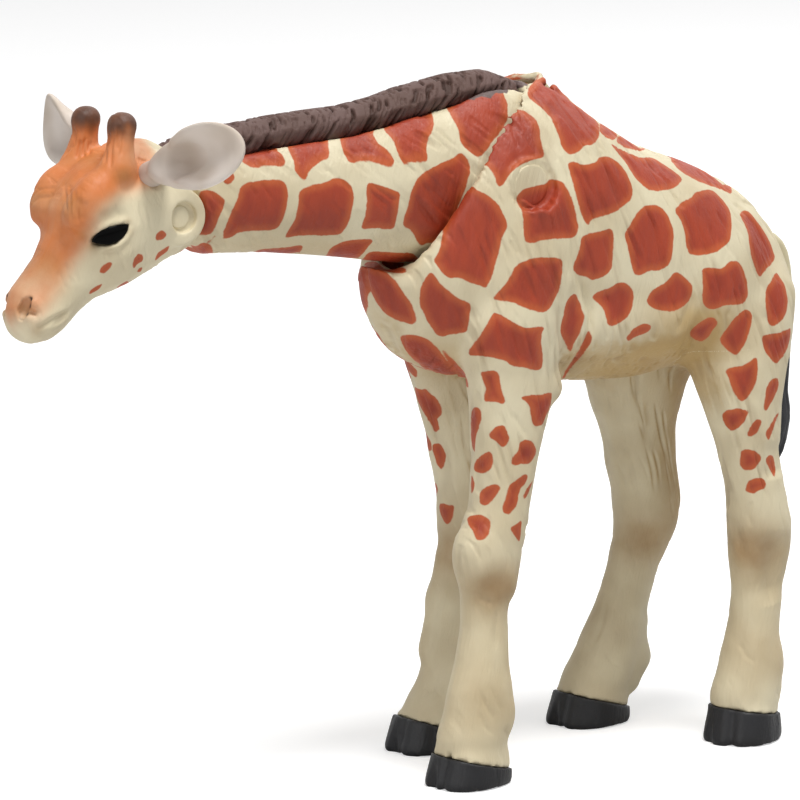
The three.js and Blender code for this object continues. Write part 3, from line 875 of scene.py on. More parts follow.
@dataclass
class Patch:
    """One painted patch: its rim in space, and the flat plane that it is measured in."""

    rim: Array

    @classmethod
    def seen_on(cls, tree: BVHTree, outline: Outline) -> "Patch | None":
        """A patch whose outline is given in the camera's view.

        Args:
            tree: the surface that it is painted on.
            outline: its corners in pixels.

        Returns:
            The patch, or None where the surface isn't there.
        """
        corners = rounded(outline)
        middle = corners.mean(0)
        eye = Vector(CAMERA.eye() * MM)
        first = tree.ray_cast(eye, Vector(CAMERA.ray(*middle)))[3]
        farthest = first + 6.0 * MM if first is not None else 1.0
        rim = []
        for corner in corners:
            for share in np.linspace(1.0, 0.0, 15):
                across, down = middle + (corner - middle) * share
                hit, _, _, away = tree.ray_cast(eye, Vector(CAMERA.ray(across, down)))
                if hit is not None and away < farthest:
                    rim.append(np.array(hit) / MM + CAMERA.aside(corner - (across, down)))
                    break
        return cls(np.array(rim)) if len(rim) > 3 else None

    def moved(self, shift: "Shift") -> "Patch":
        """The patch's mirror image on the right side, moved as that side's stance asks.

        Args:
            shift: how far ahead that side's form lies.

        Returns:
            The new patch.
        """
        rim = self.rim * np.array([1.0, -1.0, 1.0])
        rim[:, 0] += shift.at(rim[:, 2])
        return Patch(rim)

    def depth_inside(self, places: Array) -> Array:
        """How far places are inside the rim.

        Args:
            places: points on the surface in millimetres.

        Returns:
            Millimetres inside the rim, negative outside, and no less than BARE.
        """
        centre = self.rim.mean(0)
        spokes = self.rim - centre
        normal = np.cross(spokes, np.roll(spokes, -1, axis=0)).sum(0)
        normal /= np.linalg.norm(normal)
        first = spokes[0] - normal * (spokes[0] @ normal)
        first /= np.linalg.norm(first)
        second = np.cross(normal, first)
        thickness = np.abs(spokes @ normal).max() + 3.0
        reach = np.linalg.norm(spokes, axis=1).max() + 1.5
        depth = np.full(len(places), BARE)
        offsets = places - centre
        near = (np.abs(offsets) < reach + thickness).all(axis=1)
        near &= np.abs(offsets @ normal) < thickness + 3.0
        room = thickness - np.abs(offsets[near] @ normal)
        plane = np.stack([first, second], axis=1)
        depth[near] = np.minimum(depth_in_outline(offsets[near] @ plane, spokes @ plane), room)
        return depth


@dataclass(frozen=True)
class Stencil:
    """A patch measured straight in the camera's view, for skin that steps in and out."""

    outline: Outline
    innermost: float = 3.6

    def depth_inside(self, places: Array) -> Array:
        """How far places are inside the outline, in millimetres, and BARE near the middle of the figure."""
        depth = depth_in_outline(CAMERA.seen_near(places), rounded(self.outline)) / PIXELS_PER_MM
        return np.where(np.abs(places[:, 1]) > self.innermost, np.maximum(depth, BARE), BARE)


@dataclass(frozen=True)
class Shift:
    """How far the right side's form lies ahead of the left side's, at a few heights in millimetres."""

    heights: tuple[float, ...] = (0.0, 100.0)
    ahead: tuple[float, ...] = (0.0, 0.0)

    def at(self, heights: Array) -> Array:
        """The shift at given heights."""
        return np.interp(heights, self.heights, self.ahead)


LEVEL = Shift()
FRONT_LEG_SHIFT = Shift((20.0, 24.0, 32.0, 40.0, 46.0), (-8.0, -8.2, -5.5, -1.9, 0.0))
REAR_LEG_SHIFT = Shift((20.0, 26.0, 34.0, 40.0, 46.0), (2.0, 1.6, 1.6, 1.2, 0.0))


@dataclass(frozen=True)
class PatchSet:
    """Patches that are painted on one surface, as outlines in the camera's view."""

    outlines: tuple[Outline, ...]
    shift: Shift | None = LEVEL

    def painted(self, tree: BVHTree) -> list[Patch]:
        """The patches of both sides that the surface takes."""
        left = [patch for patch in (Patch.seen_on(tree, outline) for outline in self.outlines) if patch]
        return left if self.shift is None else [*left, *(patch.moved(self.shift) for patch in left)]


NECK_PATCHES = PatchSet((
    (198, 190, 212, 190, 225, 198, 225, 206, 219, 218, 213, 234, 200, 236, 192, 231, 201, 210),
    (241, 184, 262, 180, 282, 179, 288, 188, 288, 204, 283, 221, 275, 231, 240, 231, 231, 238, 221, 239, 229, 216,
     238, 197),
    (299, 190, 311, 185, 327, 182, 333, 177, 346, 180, 353, 188, 354, 197, 352, 213, 345, 230, 338, 236, 299, 235,
     285, 239, 286, 233, 295, 221, 298, 205),
    (366, 181, 384, 186, 401, 193, 399, 202, 396, 226, 391, 230, 375, 228, 360, 230, 364, 218, 367, 204),
    (461, 151, 472, 165, 466, 188, 452, 222, 440, 242, 428, 243, 421, 246, 416, 241, 412, 231, 402, 226, 404, 217,
     408, 206, 411, 191, 418, 176, 440, 163, 453, 158),
    (240, 140, 268, 140, 271, 148, 281, 153, 286, 161, 284, 167, 267, 166, 251, 169, 238, 159, 236, 150),
    (288, 130, 327, 125, 328, 145, 330, 158, 318, 163, 310, 170, 306, 181, 302, 180, 295, 172, 294, 162, 289, 151,
     285, 142),
    (338, 126, 374, 120, 376, 127, 373, 134, 377, 142, 390, 152, 395, 162, 391, 168, 378, 163, 362, 161, 350, 164,
     343, 152, 339, 140),
    (382, 118, 428, 104, 432, 112, 434, 122, 433, 132, 428, 140, 426, 150, 428, 163, 412, 162, 404, 166, 399, 157,
     396, 148, 392, 139, 382, 129),
    (444, 100, 500, 84, 504, 95, 508, 104, 508, 122, 494, 140, 480, 160, 466, 149, 460, 142, 459, 131, 452, 117, 446,
     108), (171, 262, 181, 249, 196, 246, 202, 242, 211, 244, 214, 251, 212, 262),
    (244, 260, 257, 249, 281, 248, 304, 244, 301, 252, 295, 262),
    (323, 260, 330, 248, 341, 242, 352, 239, 375, 239, 369, 246, 362, 255, 352, 264, 330, 266),
    (359, 264, 369, 250, 396, 253, 411, 252, 417, 256, 420, 266, 400, 272, 370, 272),
    (223, 183, 229, 185, 235, 178, 232, 172, 226, 174),
))
SHOULDER_STENCILS = tuple(Stencil(outline) for outline in (
    (508, 112, 517, 109, 526, 111, 536, 119, 540, 129, 540, 139, 546, 157, 534, 160, 520, 165, 511, 172, 505, 183,
     498, 188, 493, 173, 486, 165, 470, 162, 478, 148, 495, 127),
    (515, 199, 521, 190, 530, 187, 538, 185, 545, 184, 551, 178, 563, 181, 571, 195, 576, 212, 579, 231, 574, 238,
     563, 239, 548, 239, 526, 245, 523, 233, 523, 214, 519, 206),
))
TRUNK_PATCHES = PatchSet((
    (541, 70, 558, 82, 578, 99, 598, 118, 600, 136, 594, 145, 584, 145, 580, 152, 569, 155, 562, 149, 558, 133, 551,
     118, 540, 106, 526, 97, 530, 85),
    (567, 163, 575, 161, 583, 165, 594, 163, 602, 155, 614, 159, 624, 168, 633, 186, 632, 199, 621, 209, 603, 217,
     592, 219, 588, 227, 582, 218, 576, 196, 570, 173),
    (609, 142, 625, 152, 641, 158, 652, 157, 665, 165, 685, 179, 675, 188, 664, 191, 650, 191, 643, 186, 634, 177,
     626, 163, 617, 152), (600, 120, 610, 126, 618, 135, 614, 141, 605, 137, 599, 131),
    (620, 134, 634, 139, 648, 147, 641, 152, 626, 148, 615, 142),
    (664, 148, 684, 153, 704, 162, 718, 171, 732, 184, 732, 195, 722, 190, 708, 185, 697, 181, 686, 175, 675, 167),
    (466, 182, 473, 187, 481, 192, 490, 196, 500, 206, 507, 221, 507, 229, 503, 236, 500, 247, 497, 259, 494, 271,
     490, 281, 486, 288, 477, 285, 470, 283, 458, 277, 450, 279, 443, 274, 437, 266, 433, 261, 440, 250, 442, 238,
     443, 222, 449, 206, 455, 196),
    (581, 237, 588, 234, 600, 231, 613, 228, 614, 240, 613, 255, 612, 268, 608, 274, 600, 278, 592, 281, 588, 277,
     577, 275, 573, 270, 574, 262, 579, 252, 580, 244),
    (638, 212, 643, 206, 652, 204, 661, 207, 668, 214, 673, 228, 674, 240, 672, 258, 668, 267, 658, 271, 648, 271,
     642, 275, 636, 276, 632, 270, 630, 258, 627, 245, 624, 233, 630, 226, 633, 219),
    (674, 210, 683, 201, 690, 198, 696, 192, 706, 189, 714, 191, 722, 199, 729, 208, 732, 220, 731, 237, 729, 243,
     720, 250, 711, 254, 700, 256, 689, 255, 686, 245, 685, 232, 680, 219),
    (702, 269, 708, 267, 722, 269, 730, 261, 738, 260, 744, 271, 748, 285, 748, 297, 742, 305, 734, 305, 723, 306,
     716, 310, 706, 309, 702, 301, 703, 288, 702, 275),
    (739, 213, 746, 209, 753, 216, 763, 229, 771, 244, 776, 259, 770, 265, 764, 272, 760, 278, 757, 273, 752, 260,
     749, 245, 748, 232, 743, 222),
    (776, 271, 780, 277, 785, 285, 788, 300, 787, 311, 783, 320, 778, 324, 772, 327, 768, 323, 766, 310, 765, 297,
     766, 288, 771, 281),
    (646, 303, 648, 295, 655, 288, 664, 284, 670, 277, 676, 271, 682, 275, 687, 279, 692, 285, 693, 293, 688, 303,
     680, 309, 671, 312, 655, 310),
    (626, 338, 630, 332, 637, 326, 644, 323, 650, 324, 652, 328, 647, 333, 641, 335, 634, 338, 628, 342),
    (689, 334, 694, 326, 702, 321, 708, 317, 715, 318, 718, 322, 716, 327, 711, 333, 708, 338, 702, 342, 694, 340),
    (719, 339, 722, 334, 729, 325, 737, 315, 745, 309, 750, 311, 753, 317, 750, 330, 746, 342, 741, 350, 736, 356,
     730, 353, 723, 346),
    (761, 336, 768, 334, 778, 333, 786, 330, 791, 327, 790, 340, 786, 352, 780, 360, 776, 365, 771, 360, 764, 350),
    (592, 298, 594, 294, 604, 289, 612, 287, 618, 282, 627, 283, 633, 290, 634, 298, 632, 309, 628, 317, 620, 323,
     613, 326, 608, 326, 606, 317, 603, 309, 598, 303),
    (574, 292, 579, 300, 582, 309, 585, 316, 583, 325, 579, 335, 574, 343, 571, 353, 567, 349, 564, 340, 560, 334,
     560, 328, 563, 317, 565, 303),
    (588, 330, 592, 334, 592, 341, 586, 350, 580, 358, 574, 364, 568, 373, 561, 384, 563, 374, 571, 362, 578, 352,
     583, 341),
    (493, 297, 500, 290, 506, 283, 511, 275, 514, 268, 521, 262, 532, 258, 548, 257, 560, 258, 563, 262, 562, 275,
     560, 290, 555, 298, 551, 308, 545, 313, 533, 311, 522, 307, 514, 303, 505, 301, 494, 300),
    (430, 272, 434, 274, 438, 281, 446, 289, 455, 296, 462, 300, 471, 303, 471, 308, 469, 320, 468, 331, 460, 334,
     450, 334, 443, 337, 436, 335, 430, 326, 424, 316, 419, 303, 420, 290, 423, 281),
    (493, 312, 498, 313, 505, 317, 513, 322, 520, 326, 528, 328, 540, 326, 545, 328, 542, 333, 541, 340, 542, 350,
     543, 362, 541, 370, 535, 371, 525, 368, 512, 366, 504, 361, 494, 358, 482, 356, 470, 356, 468, 352, 473, 344,
     480, 335, 486, 326),
    (363, 262, 378, 261, 387, 272, 396, 281, 404, 293, 412, 304, 415, 313, 417, 322, 411, 325, 402, 322, 391, 318,
     380, 309, 373, 296, 366, 282),
    (399, 336, 408, 334, 421, 336, 431, 341, 438, 348, 444, 357, 452, 366, 460, 373, 461, 378, 446, 377, 433, 376,
     425, 369, 410, 357, 403, 346),
    (441, 349, 448, 354, 457, 364, 464, 371, 467, 379, 469, 389, 463, 382, 459, 376, 452, 368, 446, 359),
))
LONE_PATCHES = PatchSet((
    (395, 354, 402, 358, 411, 364, 417, 370, 418, 376, 415, 378, 409, 371, 402, 363),
    (418, 394, 420, 390, 426, 388, 430, 393, 437, 399, 440, 404, 443, 411, 441, 416, 436, 419, 428, 422, 426, 416,
     424, 408), (432, 444, 440, 443, 444, 449, 447, 456, 445, 463, 442, 471, 438, 467, 435, 459, 432, 450),
    (439, 504, 442, 503, 449, 505, 454, 505, 454, 513, 451, 522, 447, 525, 443, 520, 440, 513),
    (435, 481, 437, 485, 437, 493, 435, 498), (471, 472, 475, 484, 474, 490, 471, 496),
), shift=None)
FRONT_LEG_PATCHES = PatchSet((
    (479, 371, 488, 371, 496, 370, 500, 377, 501, 387, 504, 396, 506, 402, 502, 405, 495, 402, 484, 402, 483, 396,
     486, 390, 484, 383),
    (520, 398, 526, 395, 540, 395, 552, 391, 552, 399, 549, 410, 545, 418, 543, 425, 534, 427, 531, 418, 530, 408,
     527, 402), (471, 410, 475, 407, 481, 409, 482, 417, 480, 426, 476, 436, 475, 447, 475, 453, 472, 447, 471, 436),
    (488, 436, 492, 430, 498, 425, 504, 425, 507, 431, 510, 438, 507, 445, 502, 448, 497, 443),
    (519, 443, 525, 439, 532, 441, 536, 447, 536, 454, 532, 461, 529, 464, 522, 464, 516, 466, 511, 464, 511, 460,
     517, 452, 519, 447),
    (485, 453, 490, 451, 493, 455, 493, 463, 491, 469, 486, 473, 480, 474, 474, 471, 474, 464, 478, 458),
    (479, 497, 480, 491, 487, 486, 495, 483, 501, 487, 500, 490, 494, 498, 489, 505, 483, 506, 479, 503),
    (508, 486, 515, 481, 521, 476, 526, 474, 528, 477, 525, 484, 519, 491, 518, 503, 514, 510, 509, 515, 504, 513,
     502, 508, 505, 499),
    (467, 518, 472, 515, 482, 515, 490, 519, 491, 526, 489, 535, 484, 540, 478, 541, 474, 536, 472, 530, 468, 525),
    (522, 519, 521, 530, 520, 543, 517, 540, 513, 533, 510, 528, 516, 524),
    (534, 478, 531, 486, 527, 497, 524, 500, 523, 495, 528, 487), (546, 430, 545, 440, 541, 452, 539, 460, 540, 448),
), shift=FRONT_LEG_SHIFT)
REAR_LEG_PATCHES = PatchSet((
    (724, 371, 730, 367, 741, 366, 749, 362, 757, 356, 758, 366, 757, 380, 752, 391, 747, 399, 741, 402, 735, 396,
     731, 387, 729, 379),
    (771, 379, 777, 377, 779, 382, 778, 390, 774, 398, 770, 406, 766, 412, 763, 408, 765, 397, 766, 388),
    (790, 363, 793, 369, 793, 380, 788, 391, 784, 396, 785, 386, 786, 375),
    (721, 415, 726, 410, 737, 408, 749, 410, 748, 415, 744, 422, 738, 429, 731, 432, 726, 427, 723, 420),
    (747, 436, 748, 430, 753, 423, 757, 419, 762, 421, 760, 427, 757, 433, 752, 437),
    (780, 411, 777, 418, 774, 427, 771, 435, 769, 442, 765, 436, 766, 431, 770, 425, 775, 416),
    (740, 458, 741, 451, 746, 449, 754, 450, 759, 454, 762, 458, 759, 464, 755, 469, 748, 471, 742, 469, 739, 464),
    (770, 454, 774, 457, 775, 464, 776, 474, 774, 478, 771, 472, 766, 463, 766, 458),
    (748, 481, 754, 478, 764, 478, 767, 484, 765, 489, 758, 491, 754, 494, 749, 492, 745, 491, 746, 485),
), shift=REAR_LEG_SHIFT)
CHEEK_PATCHES = PatchSet((
    (99, 272, 102, 266, 108, 262, 113, 263, 110, 269, 104, 274),
    (132, 266, 134, 258, 138, 253, 143, 255, 143, 261, 137, 264, 134, 269), (137, 272, 139, 268, 143, 267, 141, 272),
    (155, 241, 156, 234, 160, 230, 164, 231, 167, 235, 163, 240),
    (154, 262, 157, 253, 163, 249, 170, 245, 168, 251, 160, 257), (88, 295, 91, 289, 97, 286, 103, 283, 99, 290),
    (116, 288, 121, 284, 128, 280, 129, 284, 122, 288),
))


@dataclass(frozen=True)
class HairLines:
    """Fine lines engraved in the moulding, as grooves in the mesh.

    `along` is the direction that a line runs in, `spacing` is between lines, and `length` is how long they run.
    """

    along: Point
    spacing: float
    length: float
    depth: float
    seed: int
    share: float = 0.5

    def depths(self, places: Array) -> Array:
        """How deep the lines are at each place.

        Args:
            places: points in millimetres.

        Returns:
            Depths in millimetres.
        """
        along = np.array(self.along) / np.linalg.norm(self.along)
        aside = np.cross(along, [0.0, 1.0, 0.0])
        aside /= np.linalg.norm(aside)
        other = np.cross(along, aside)
        waver = smooth_noise(places / (self.spacing * 9), self.seed + 5) * self.spacing * 0.7
        turned = np.stack([
            (places @ aside + waver) / self.spacing,
            places @ other / (self.spacing * 2.2),
            places @ along / self.length,
        ], axis=1)
        strokes = smoothstep(0.1, 0.62, smooth_noise(turned, self.seed))
        spread = smooth_noise(places / (self.spacing * 6), self.seed + 9)
        sparse = smoothstep(1 - 2 * self.share - 0.35, 1 - 2 * self.share + 0.35, spread)
        return self.depth * strokes * sparse


# Shader graphs


def colour(text: str) -> tuple[float, float, float, float]:
    """A linear colour from a colour as it is seen.

    Args:
        text: six hexadecimal digits.

    Returns:
        Linear red, green, blue and an alpha of 1.
    """
    seen = [int(text[start : start + 2], 16) / 255 for start in (0, 2, 4)]
    linear = [part / 12.92 if part <= 0.04045 else ((part + 0.055) / 1.055) ** 2.4 for part in seen]
    return (linear[0], linear[1], linear[2], 1.0)


@dataclass
class Graph:
    """A short way to place and join shader nodes in one tree."""

    tree: bpy.types.NodeTree

    def node(self, kind: str, **settings: object) -> bpy.types.Node:
        """A new node with settings.

        Args:
            kind: its type, without the words ShaderNode.
            settings: attributes of the node.

        Returns:
            The node.
        """
        made = self.tree.nodes.new("ShaderNode" + kind)
        for name, value in settings.items():
            setattr(made, name, value)
        return made

    def feed(self, socket: bpy.types.NodeSocket, value: object) -> None:
        """Links a socket to another one, or sets its value.

        Args:
            socket: the input socket.
            value: an output socket, a number or a colour.
        """
        if isinstance(value, bpy.types.NodeSocket):
            self.tree.links.new(value, socket)
        else:
            socket.default_value = value

    def zone(self, zone: Zone) -> bpy.types.NodeSocket:
        """The value of a paint zone."""
        return self.node("Attribute", attribute_name=zone.value).outputs["Fac"]

    def noise(self, scale: Point | float, detail: float = 2.0, turn: float = 0.0) -> bpy.types.NodeSocket:
        """Noise on the object coordinates.

        Args:
            scale: how many pattern steps there are in a millimetre, along each axis.
            detail: how many finer layers it has.
            turn: degrees about Y, before the scaling.

        Returns:
            Values from 0 to 1.
        """
        place = self.node("TexCoord").outputs["Object"]
        turned = self.node("Mapping", vector_type="POINT")
        self.feed(turned.inputs["Vector"], place)
        self.feed(turned.inputs["Rotation"], (0.0, math.radians(turn), 0.0))
        scaled = self.node("Mapping", vector_type="POINT")
        self.feed(scaled.inputs["Vector"], turned.outputs["Vector"])
        self.feed(scaled.inputs["Scale"], tuple(np.broadcast_to(scale, 3) / MM))
        made = self.node("TexNoise", noise_dimensions="3D")
        self.feed(made.inputs["Vector"], scaled.outputs["Vector"])
        self.feed(made.inputs["Scale"], 1.0)
        self.feed(made.inputs["Detail"], detail)
        return made.outputs["Fac"]

    def math(self, operation: str, *values: object) -> bpy.types.NodeSocket:
        """A calculation on one to three values.

        Args:
            operation: Blender's name of it.
            values: output sockets or numbers.

        Returns:
            The result.
        """
        made = self.node("Math", operation=operation)
        for socket, value in zip(made.inputs, values):
            self.feed(socket, value)
        return made.outputs[0]

    def ramp(self, value: object, low: float, high: float, start: float = 0.0,
             end: float = 1.0) -> bpy.types.NodeSocket:
        """A smooth ramp over a value.

        Args:
            value: what it runs over.
            low: the value at which the ramp starts.
            high: the value at which it ends.
            start: what it gives at low.
            end: what it gives at high.

        Returns:
            A number from start to end.
        """
        made = self.node("MapRange", interpolation_type="SMOOTHSTEP", clamp=True)
        for name, number in zip(("Value", "From Min", "From Max", "To Min", "To Max"), (value, low, high, start, end)):
            self.feed(made.inputs[name], number)
        return made.outputs["Result"]

    def mix(self, share: object, first: object, second: object, blend: str = "MIX") -> bpy.types.NodeSocket:
        """Two colours mixed by a share.

        Args:
            share: from 0, the first colour, to 1, the second.
            first: a colour.
            second: a colour.
            blend: how they combine.

        Returns:
            The mixed colour.
        """
        made = self.node("Mix", data_type="RGBA", blend_type=blend, clamp_factor=True)
        self.feed(made.inputs[0], share)
        self.feed(made.inputs[6], first)
        self.feed(made.inputs[7], second)
        return made.outputs[2]

    def bump(self, height: object, distance: float, strength: float = 1.0) -> bpy.types.NodeSocket:
        """A normal from a height.

        Args:
            height: the height, from 0 to 1.
            distance: how far a height of 1 stands out, in millimetres.
            strength: a share of the whole effect.

        Returns:
            The normal.
        """
        made = self.node("Bump")
        self.feed(made.inputs["Height"], height)
        self.feed(made.inputs["Distance"], distance * MM)
        self.feed(made.inputs["Strength"], strength)
        return made.outputs["Normal"]

    def group(self, tree: bpy.types.NodeTree, **values: object) -> bpy.types.Node:
        """A shared group in this tree.

        Args:
            tree: the group.
            values: what its inputs are linked or set to, by name.

        Returns:
            The group's node.
        """
        made = self.node("Group", node_tree=tree)
        for name, value in values.items():
            self.feed(made.inputs[name], value)
        return made


def new_group(name: str, inputs: dict[str, object],
              outputs: Sequence[str]) -> tuple[bpy.types.NodeTree, Graph, dict, bpy.types.Node]:
    """An empty shader group.

    Args:
        name: the group's name.
        inputs: the default of each input by name, a number or a colour.
        outputs: the outputs by name. Color is a colour, the others are numbers.

    Returns:
        The group, a graph in it, its input sockets by name, and its output node.
    """
    tree = bpy.data.node_groups.new(name, "ShaderNodeTree")
    for socket, default in inputs.items():
        kind = "NodeSocketFloat" if isinstance(default, float) else "NodeSocketColor"
        tree.interface.new_socket(name=socket, in_out="INPUT", socket_type=kind).default_value = default
    for socket in outputs:
        kind = "NodeSocketColor" if socket == "Color" else "NodeSocketFloat"
        tree.interface.new_socket(name=socket, in_out="OUTPUT", socket_type=kind)
    source = tree.nodes.new("NodeGroupInput")
    sink = tree.nodes.new("NodeGroupOutput")
    return tree, Graph(tree), {socket.name: socket for socket in source.outputs if socket.name}, sink


class Groups:
    """The shader groups that several materials share, each built once."""

    def __init__(self) -> None:
        """Builds the groups."""
        self.patches = self.painted_patches()
        self.mottle = self.mottle_and_groove_shade()
        self.hair = self.moulded_hair()

    def painted_patches(self) -> bpy.types.NodeTree:
        """The giraffe pattern: patches with wavering edges, a brighter rim and a little streaky paint.

        Returns:
            The shader group.
        """
        tree, graph, inputs, sink = new_group(
            "painted_patches",
            {"Ground": colour("e3dcc0"), "Patch": colour("9c3520"), "Rim": colour("b8562c"), "Waver": 0.22},
            ("Color", "Mask"))
        depth = graph.zone(Zone.PATCH)
        broad = graph.math("SUBTRACT", graph.noise(1.1, 1.0), 0.5)
        fine = graph.math("SUBTRACT", graph.noise(3.4), 0.5)
        shake = graph.math("MULTIPLY", graph.math("ADD", broad, graph.math("MULTIPLY", fine, 0.5)), inputs["Waver"])
        edge = graph.math("ADD", depth, shake)
        mask = graph.ramp(edge, -0.06, 0.09)
        streaks = graph.noise((0.9, 0.9, 0.22), 3.0)
        body = graph.mix(graph.ramp(streaks, 0.35, 0.7, 0.0, 0.4), inputs["Patch"], colour("8a2c1a"))
        rim = graph.mix(graph.ramp(edge, 0.05, 1.0, 0.85, 0.0), body, inputs["Rim"])
        graph.feed(sink.inputs["Color"], graph.mix(mask, inputs["Ground"], rim))
        graph.feed(sink.inputs["Mask"], mask)
        return tree

    def mottle_and_groove_shade(self) -> bpy.types.NodeTree:
        """Slow changes of tone in a sprayed paint, painted shade in its grooves, and specks of dust in it.

        Returns:
            The shader group.
        """
        tree, graph, inputs, sink = new_group(
            "mottle_and_groove_shade", {"Color": colour("ffffff"), "Amount": 0.12, "Groove": 0.0}, ("Color", "Roughness"))
        tone = graph.ramp(graph.noise(0.16), 0.3, 0.7)
        fine = graph.noise(5.0)
        darker = graph.mix(graph.math("MULTIPLY", tone, inputs["Amount"]), inputs["Color"],
                           graph.mix(1.0, inputs["Color"], colour("b39b74"), "MULTIPLY"))
        # painted shade in the grooves, darker where they are deeper
        groove_shaded = graph.mix(graph.math("MULTIPLY", inputs["Groove"], 0.62), darker,
                           graph.mix(1.0, darker, colour("8c6a48"), "MULTIPLY"))
        graph.feed(sink.inputs["Color"], groove_shaded)
        graph.feed(sink.inputs["Roughness"], graph.ramp(fine, 0.2, 0.8, 0.5, 0.62))
        return tree

    def moulded_hair(self) -> bpy.types.NodeTree:
        """The height of fine hair lines in the moulding, which run mostly down.

        Returns:
            The shader group.
        """
        tree, graph, inputs, sink = new_group("moulded_hair", {"Hair": 1.0, "Grit": 1.0}, ("Height",))
        hair = graph.noise((3.2, 3.2, 0.35), turn=14.0)
        grit = graph.noise(6.0)
        lines = graph.math("MULTIPLY", graph.ramp(hair, 0.3, 0.6), inputs["Hair"])
        graph.feed(sink.inputs["Height"], graph.math("ADD", lines, graph.math("MULTIPLY", grit, inputs["Grit"])))
        return tree


def new_material(name: str) -> tuple[bpy.types.Material, Graph, bpy.types.Node]:
    """A new material.

    Args:
        name: its name.

    Returns:
        The material, a graph in its tree, and its shader.
    """
    material = bpy.data.materials.new(name)
    material.use_nodes = True
    return material, Graph(material.node_tree), material.node_tree.nodes["Principled BSDF"]


@dataclass(frozen=True)
class CoatFinish:
    """Satin paint on the moulded skin: cream ground, patches, and sprayed colours laid over it; the tan also stands
    for painted shade under the body and on the legs, and the brown for painted shade in the face's folds.
    """

    name: str
    ground: str = "dacfb0"
    patch: str = "a23a1a"
    rim: str = "bc5a2a"
    tan: str = "ae8d50"
    brown: str = "936a2e"
    orange: str = "d0783c"
    dark: str = "1c0a03"
    mane: str = "5c4844"
    hair: float = 0.7

    def build(self, groups: Groups) -> bpy.types.Material:
        """The material.

        Args:
            groups: the shared shader groups.

        Returns:
            The finished material.
        """
        material, graph, shader = new_material(self.name)
        waver = graph.noise(0.5, 3.0)

        def sprayed(zone: Zone, strength: float) -> bpy.types.NodeSocket:
            """A zone with an uneven sprayed edge.

            Args:
                zone: the zone.
                strength: the paint's share where it is full.

            Returns:
                The paint's share.
            """
            uneven = graph.math("MULTIPLY", graph.math("SUBTRACT", waver, 0.5), 0.5)
            value = graph.zone(zone)
            lifted = graph.math("ADD", value, graph.math("MULTIPLY", uneven, value))
            return graph.math("MULTIPLY", graph.ramp(lifted, 0.0, 1.0), strength)

        # sprayed tan, which also carries painted shade under the body and on the legs
        ground = graph.mix(sprayed(Zone.TAN, 0.9), colour(self.ground), colour(self.tan))
        ground = graph.mix(sprayed(Zone.ORANGE, 1.0), ground, colour(self.orange))
        ground = graph.mix(sprayed(Zone.BROWN, 0.85), ground, colour(self.brown))
        patches = graph.group(groups.patches, Ground=ground, Patch=colour(self.patch), Rim=colour(self.rim))
        dark = graph.mix(sprayed(Zone.DARK, 0.95), patches.outputs["Color"], colour(self.dark))
        maned = graph.mix(graph.ramp(graph.zone(Zone.MANE), 0.02, 0.16), dark, colour(self.mane))
        mottle = graph.group(groups.mottle, Color=maned, Amount=0.3, Groove=graph.zone(Zone.GROOVE))
        graph.feed(shader.inputs["Base Color"], mottle.outputs["Color"])
        graph.feed(shader.inputs["Roughness"], mottle.outputs["Roughness"])
        shader.inputs["Specular IOR Level"].default_value = 0.5
        height = graph.group(groups.hair, Hair=self.hair, Grit=0.25).outputs["Height"]
        graph.feed(shader.inputs["Normal"], graph.bump(height, 0.06, 0.55))
        return material


@dataclass(frozen=True)
class PlainFinish:
    """One moulded or sprayed colour with its mottling, grit and, where it has it, a second colour in the DARK zone:
    sprayed black on the tuft, and painted shade in the ear's cup with the head's darker paint on its root.
    """

    name: str
    base: str
    shade: str
    rough: float
    hair: float = 0.0
    grit: float = 0.6
    specular: float = 0.4

    def build(self, groups: Groups) -> bpy.types.Material:
        """The material.

        Args:
            groups: the shared shader groups.

        Returns:
            The finished material.
        """
        material, graph, shader = new_material(self.name)
        shaded = graph.mix(graph.zone(Zone.DARK), colour(self.base), colour(self.shade))
        mottle = graph.group(groups.mottle, Color=shaded, Amount=0.4, Groove=graph.zone(Zone.GROOVE))
        graph.feed(shader.inputs["Base Color"], mottle.outputs["Color"])
        graph.feed(shader.inputs["Roughness"], graph.math("ADD", mottle.outputs["Roughness"], self.rough - 0.56))
        shader.inputs["Specular IOR Level"].default_value = self.specular
        height = graph.group(groups.hair, Hair=self.hair, Grit=self.grit).outputs["Height"]
        graph.feed(shader.inputs["Normal"], graph.bump(height, 0.05, 0.5))
        return material


@dataclass
class Finishes:
    """All the materials of the figure."""

    groups: Groups = field(default_factory=Groups)

    def __post_init__(self) -> None:
        """Builds each material once."""
        self.coat = CoatFinish("giraffe_coat").build(self.groups)
        self.face = CoatFinish("painted_face", hair=0.5).build(self.groups)
        self.mane = PlainFinish("mane_paint", "654f4a", "1f1412", 0.66, 0.4, 0.8, 0.3).build(self.groups)
        self.hoof = PlainFinish("black_hoof", "121215", "0a0a0c", 0.5, 0.5, 0.8, 0.35).build(self.groups)
        self.tuft = PlainFinish("black_tuft", "d8cfae", "1b1b1f", 0.55, 0.6, 0.6, 0.4).build(self.groups)
        # the ear's second colour is painted shade in its cup, and the head's darker paint on its root
        self.ear = PlainFinish("ear_paint", "ded3c9", "80695a", 0.55, 0.15, 0.4, 0.4).build(self.groups)
        self.eye = PlainFinish("gloss_eye", "030303", "0c0b0a", 0.14, 0.0, 0.02, 0.06).build(self.groups)


def hand_over(piece: bpy.types.Object, body: Body, nodes: Sequence[str],
              material: bpy.types.Material) -> None:
    """Dresses a piece and lets it ride on its body.

    Args:
        piece: the piece.
        body: the body that it moves with.
        nodes: the CAD nodes that it stands for.
        material: its finish.
    """
    piece.data.materials.clear()
    piece.data.materials.append(material)
    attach(piece, body.value)
    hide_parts(*nodes)
    LOG.info("%s: %d vertices on %s", piece.name, len(piece.data.vertices), body.value)


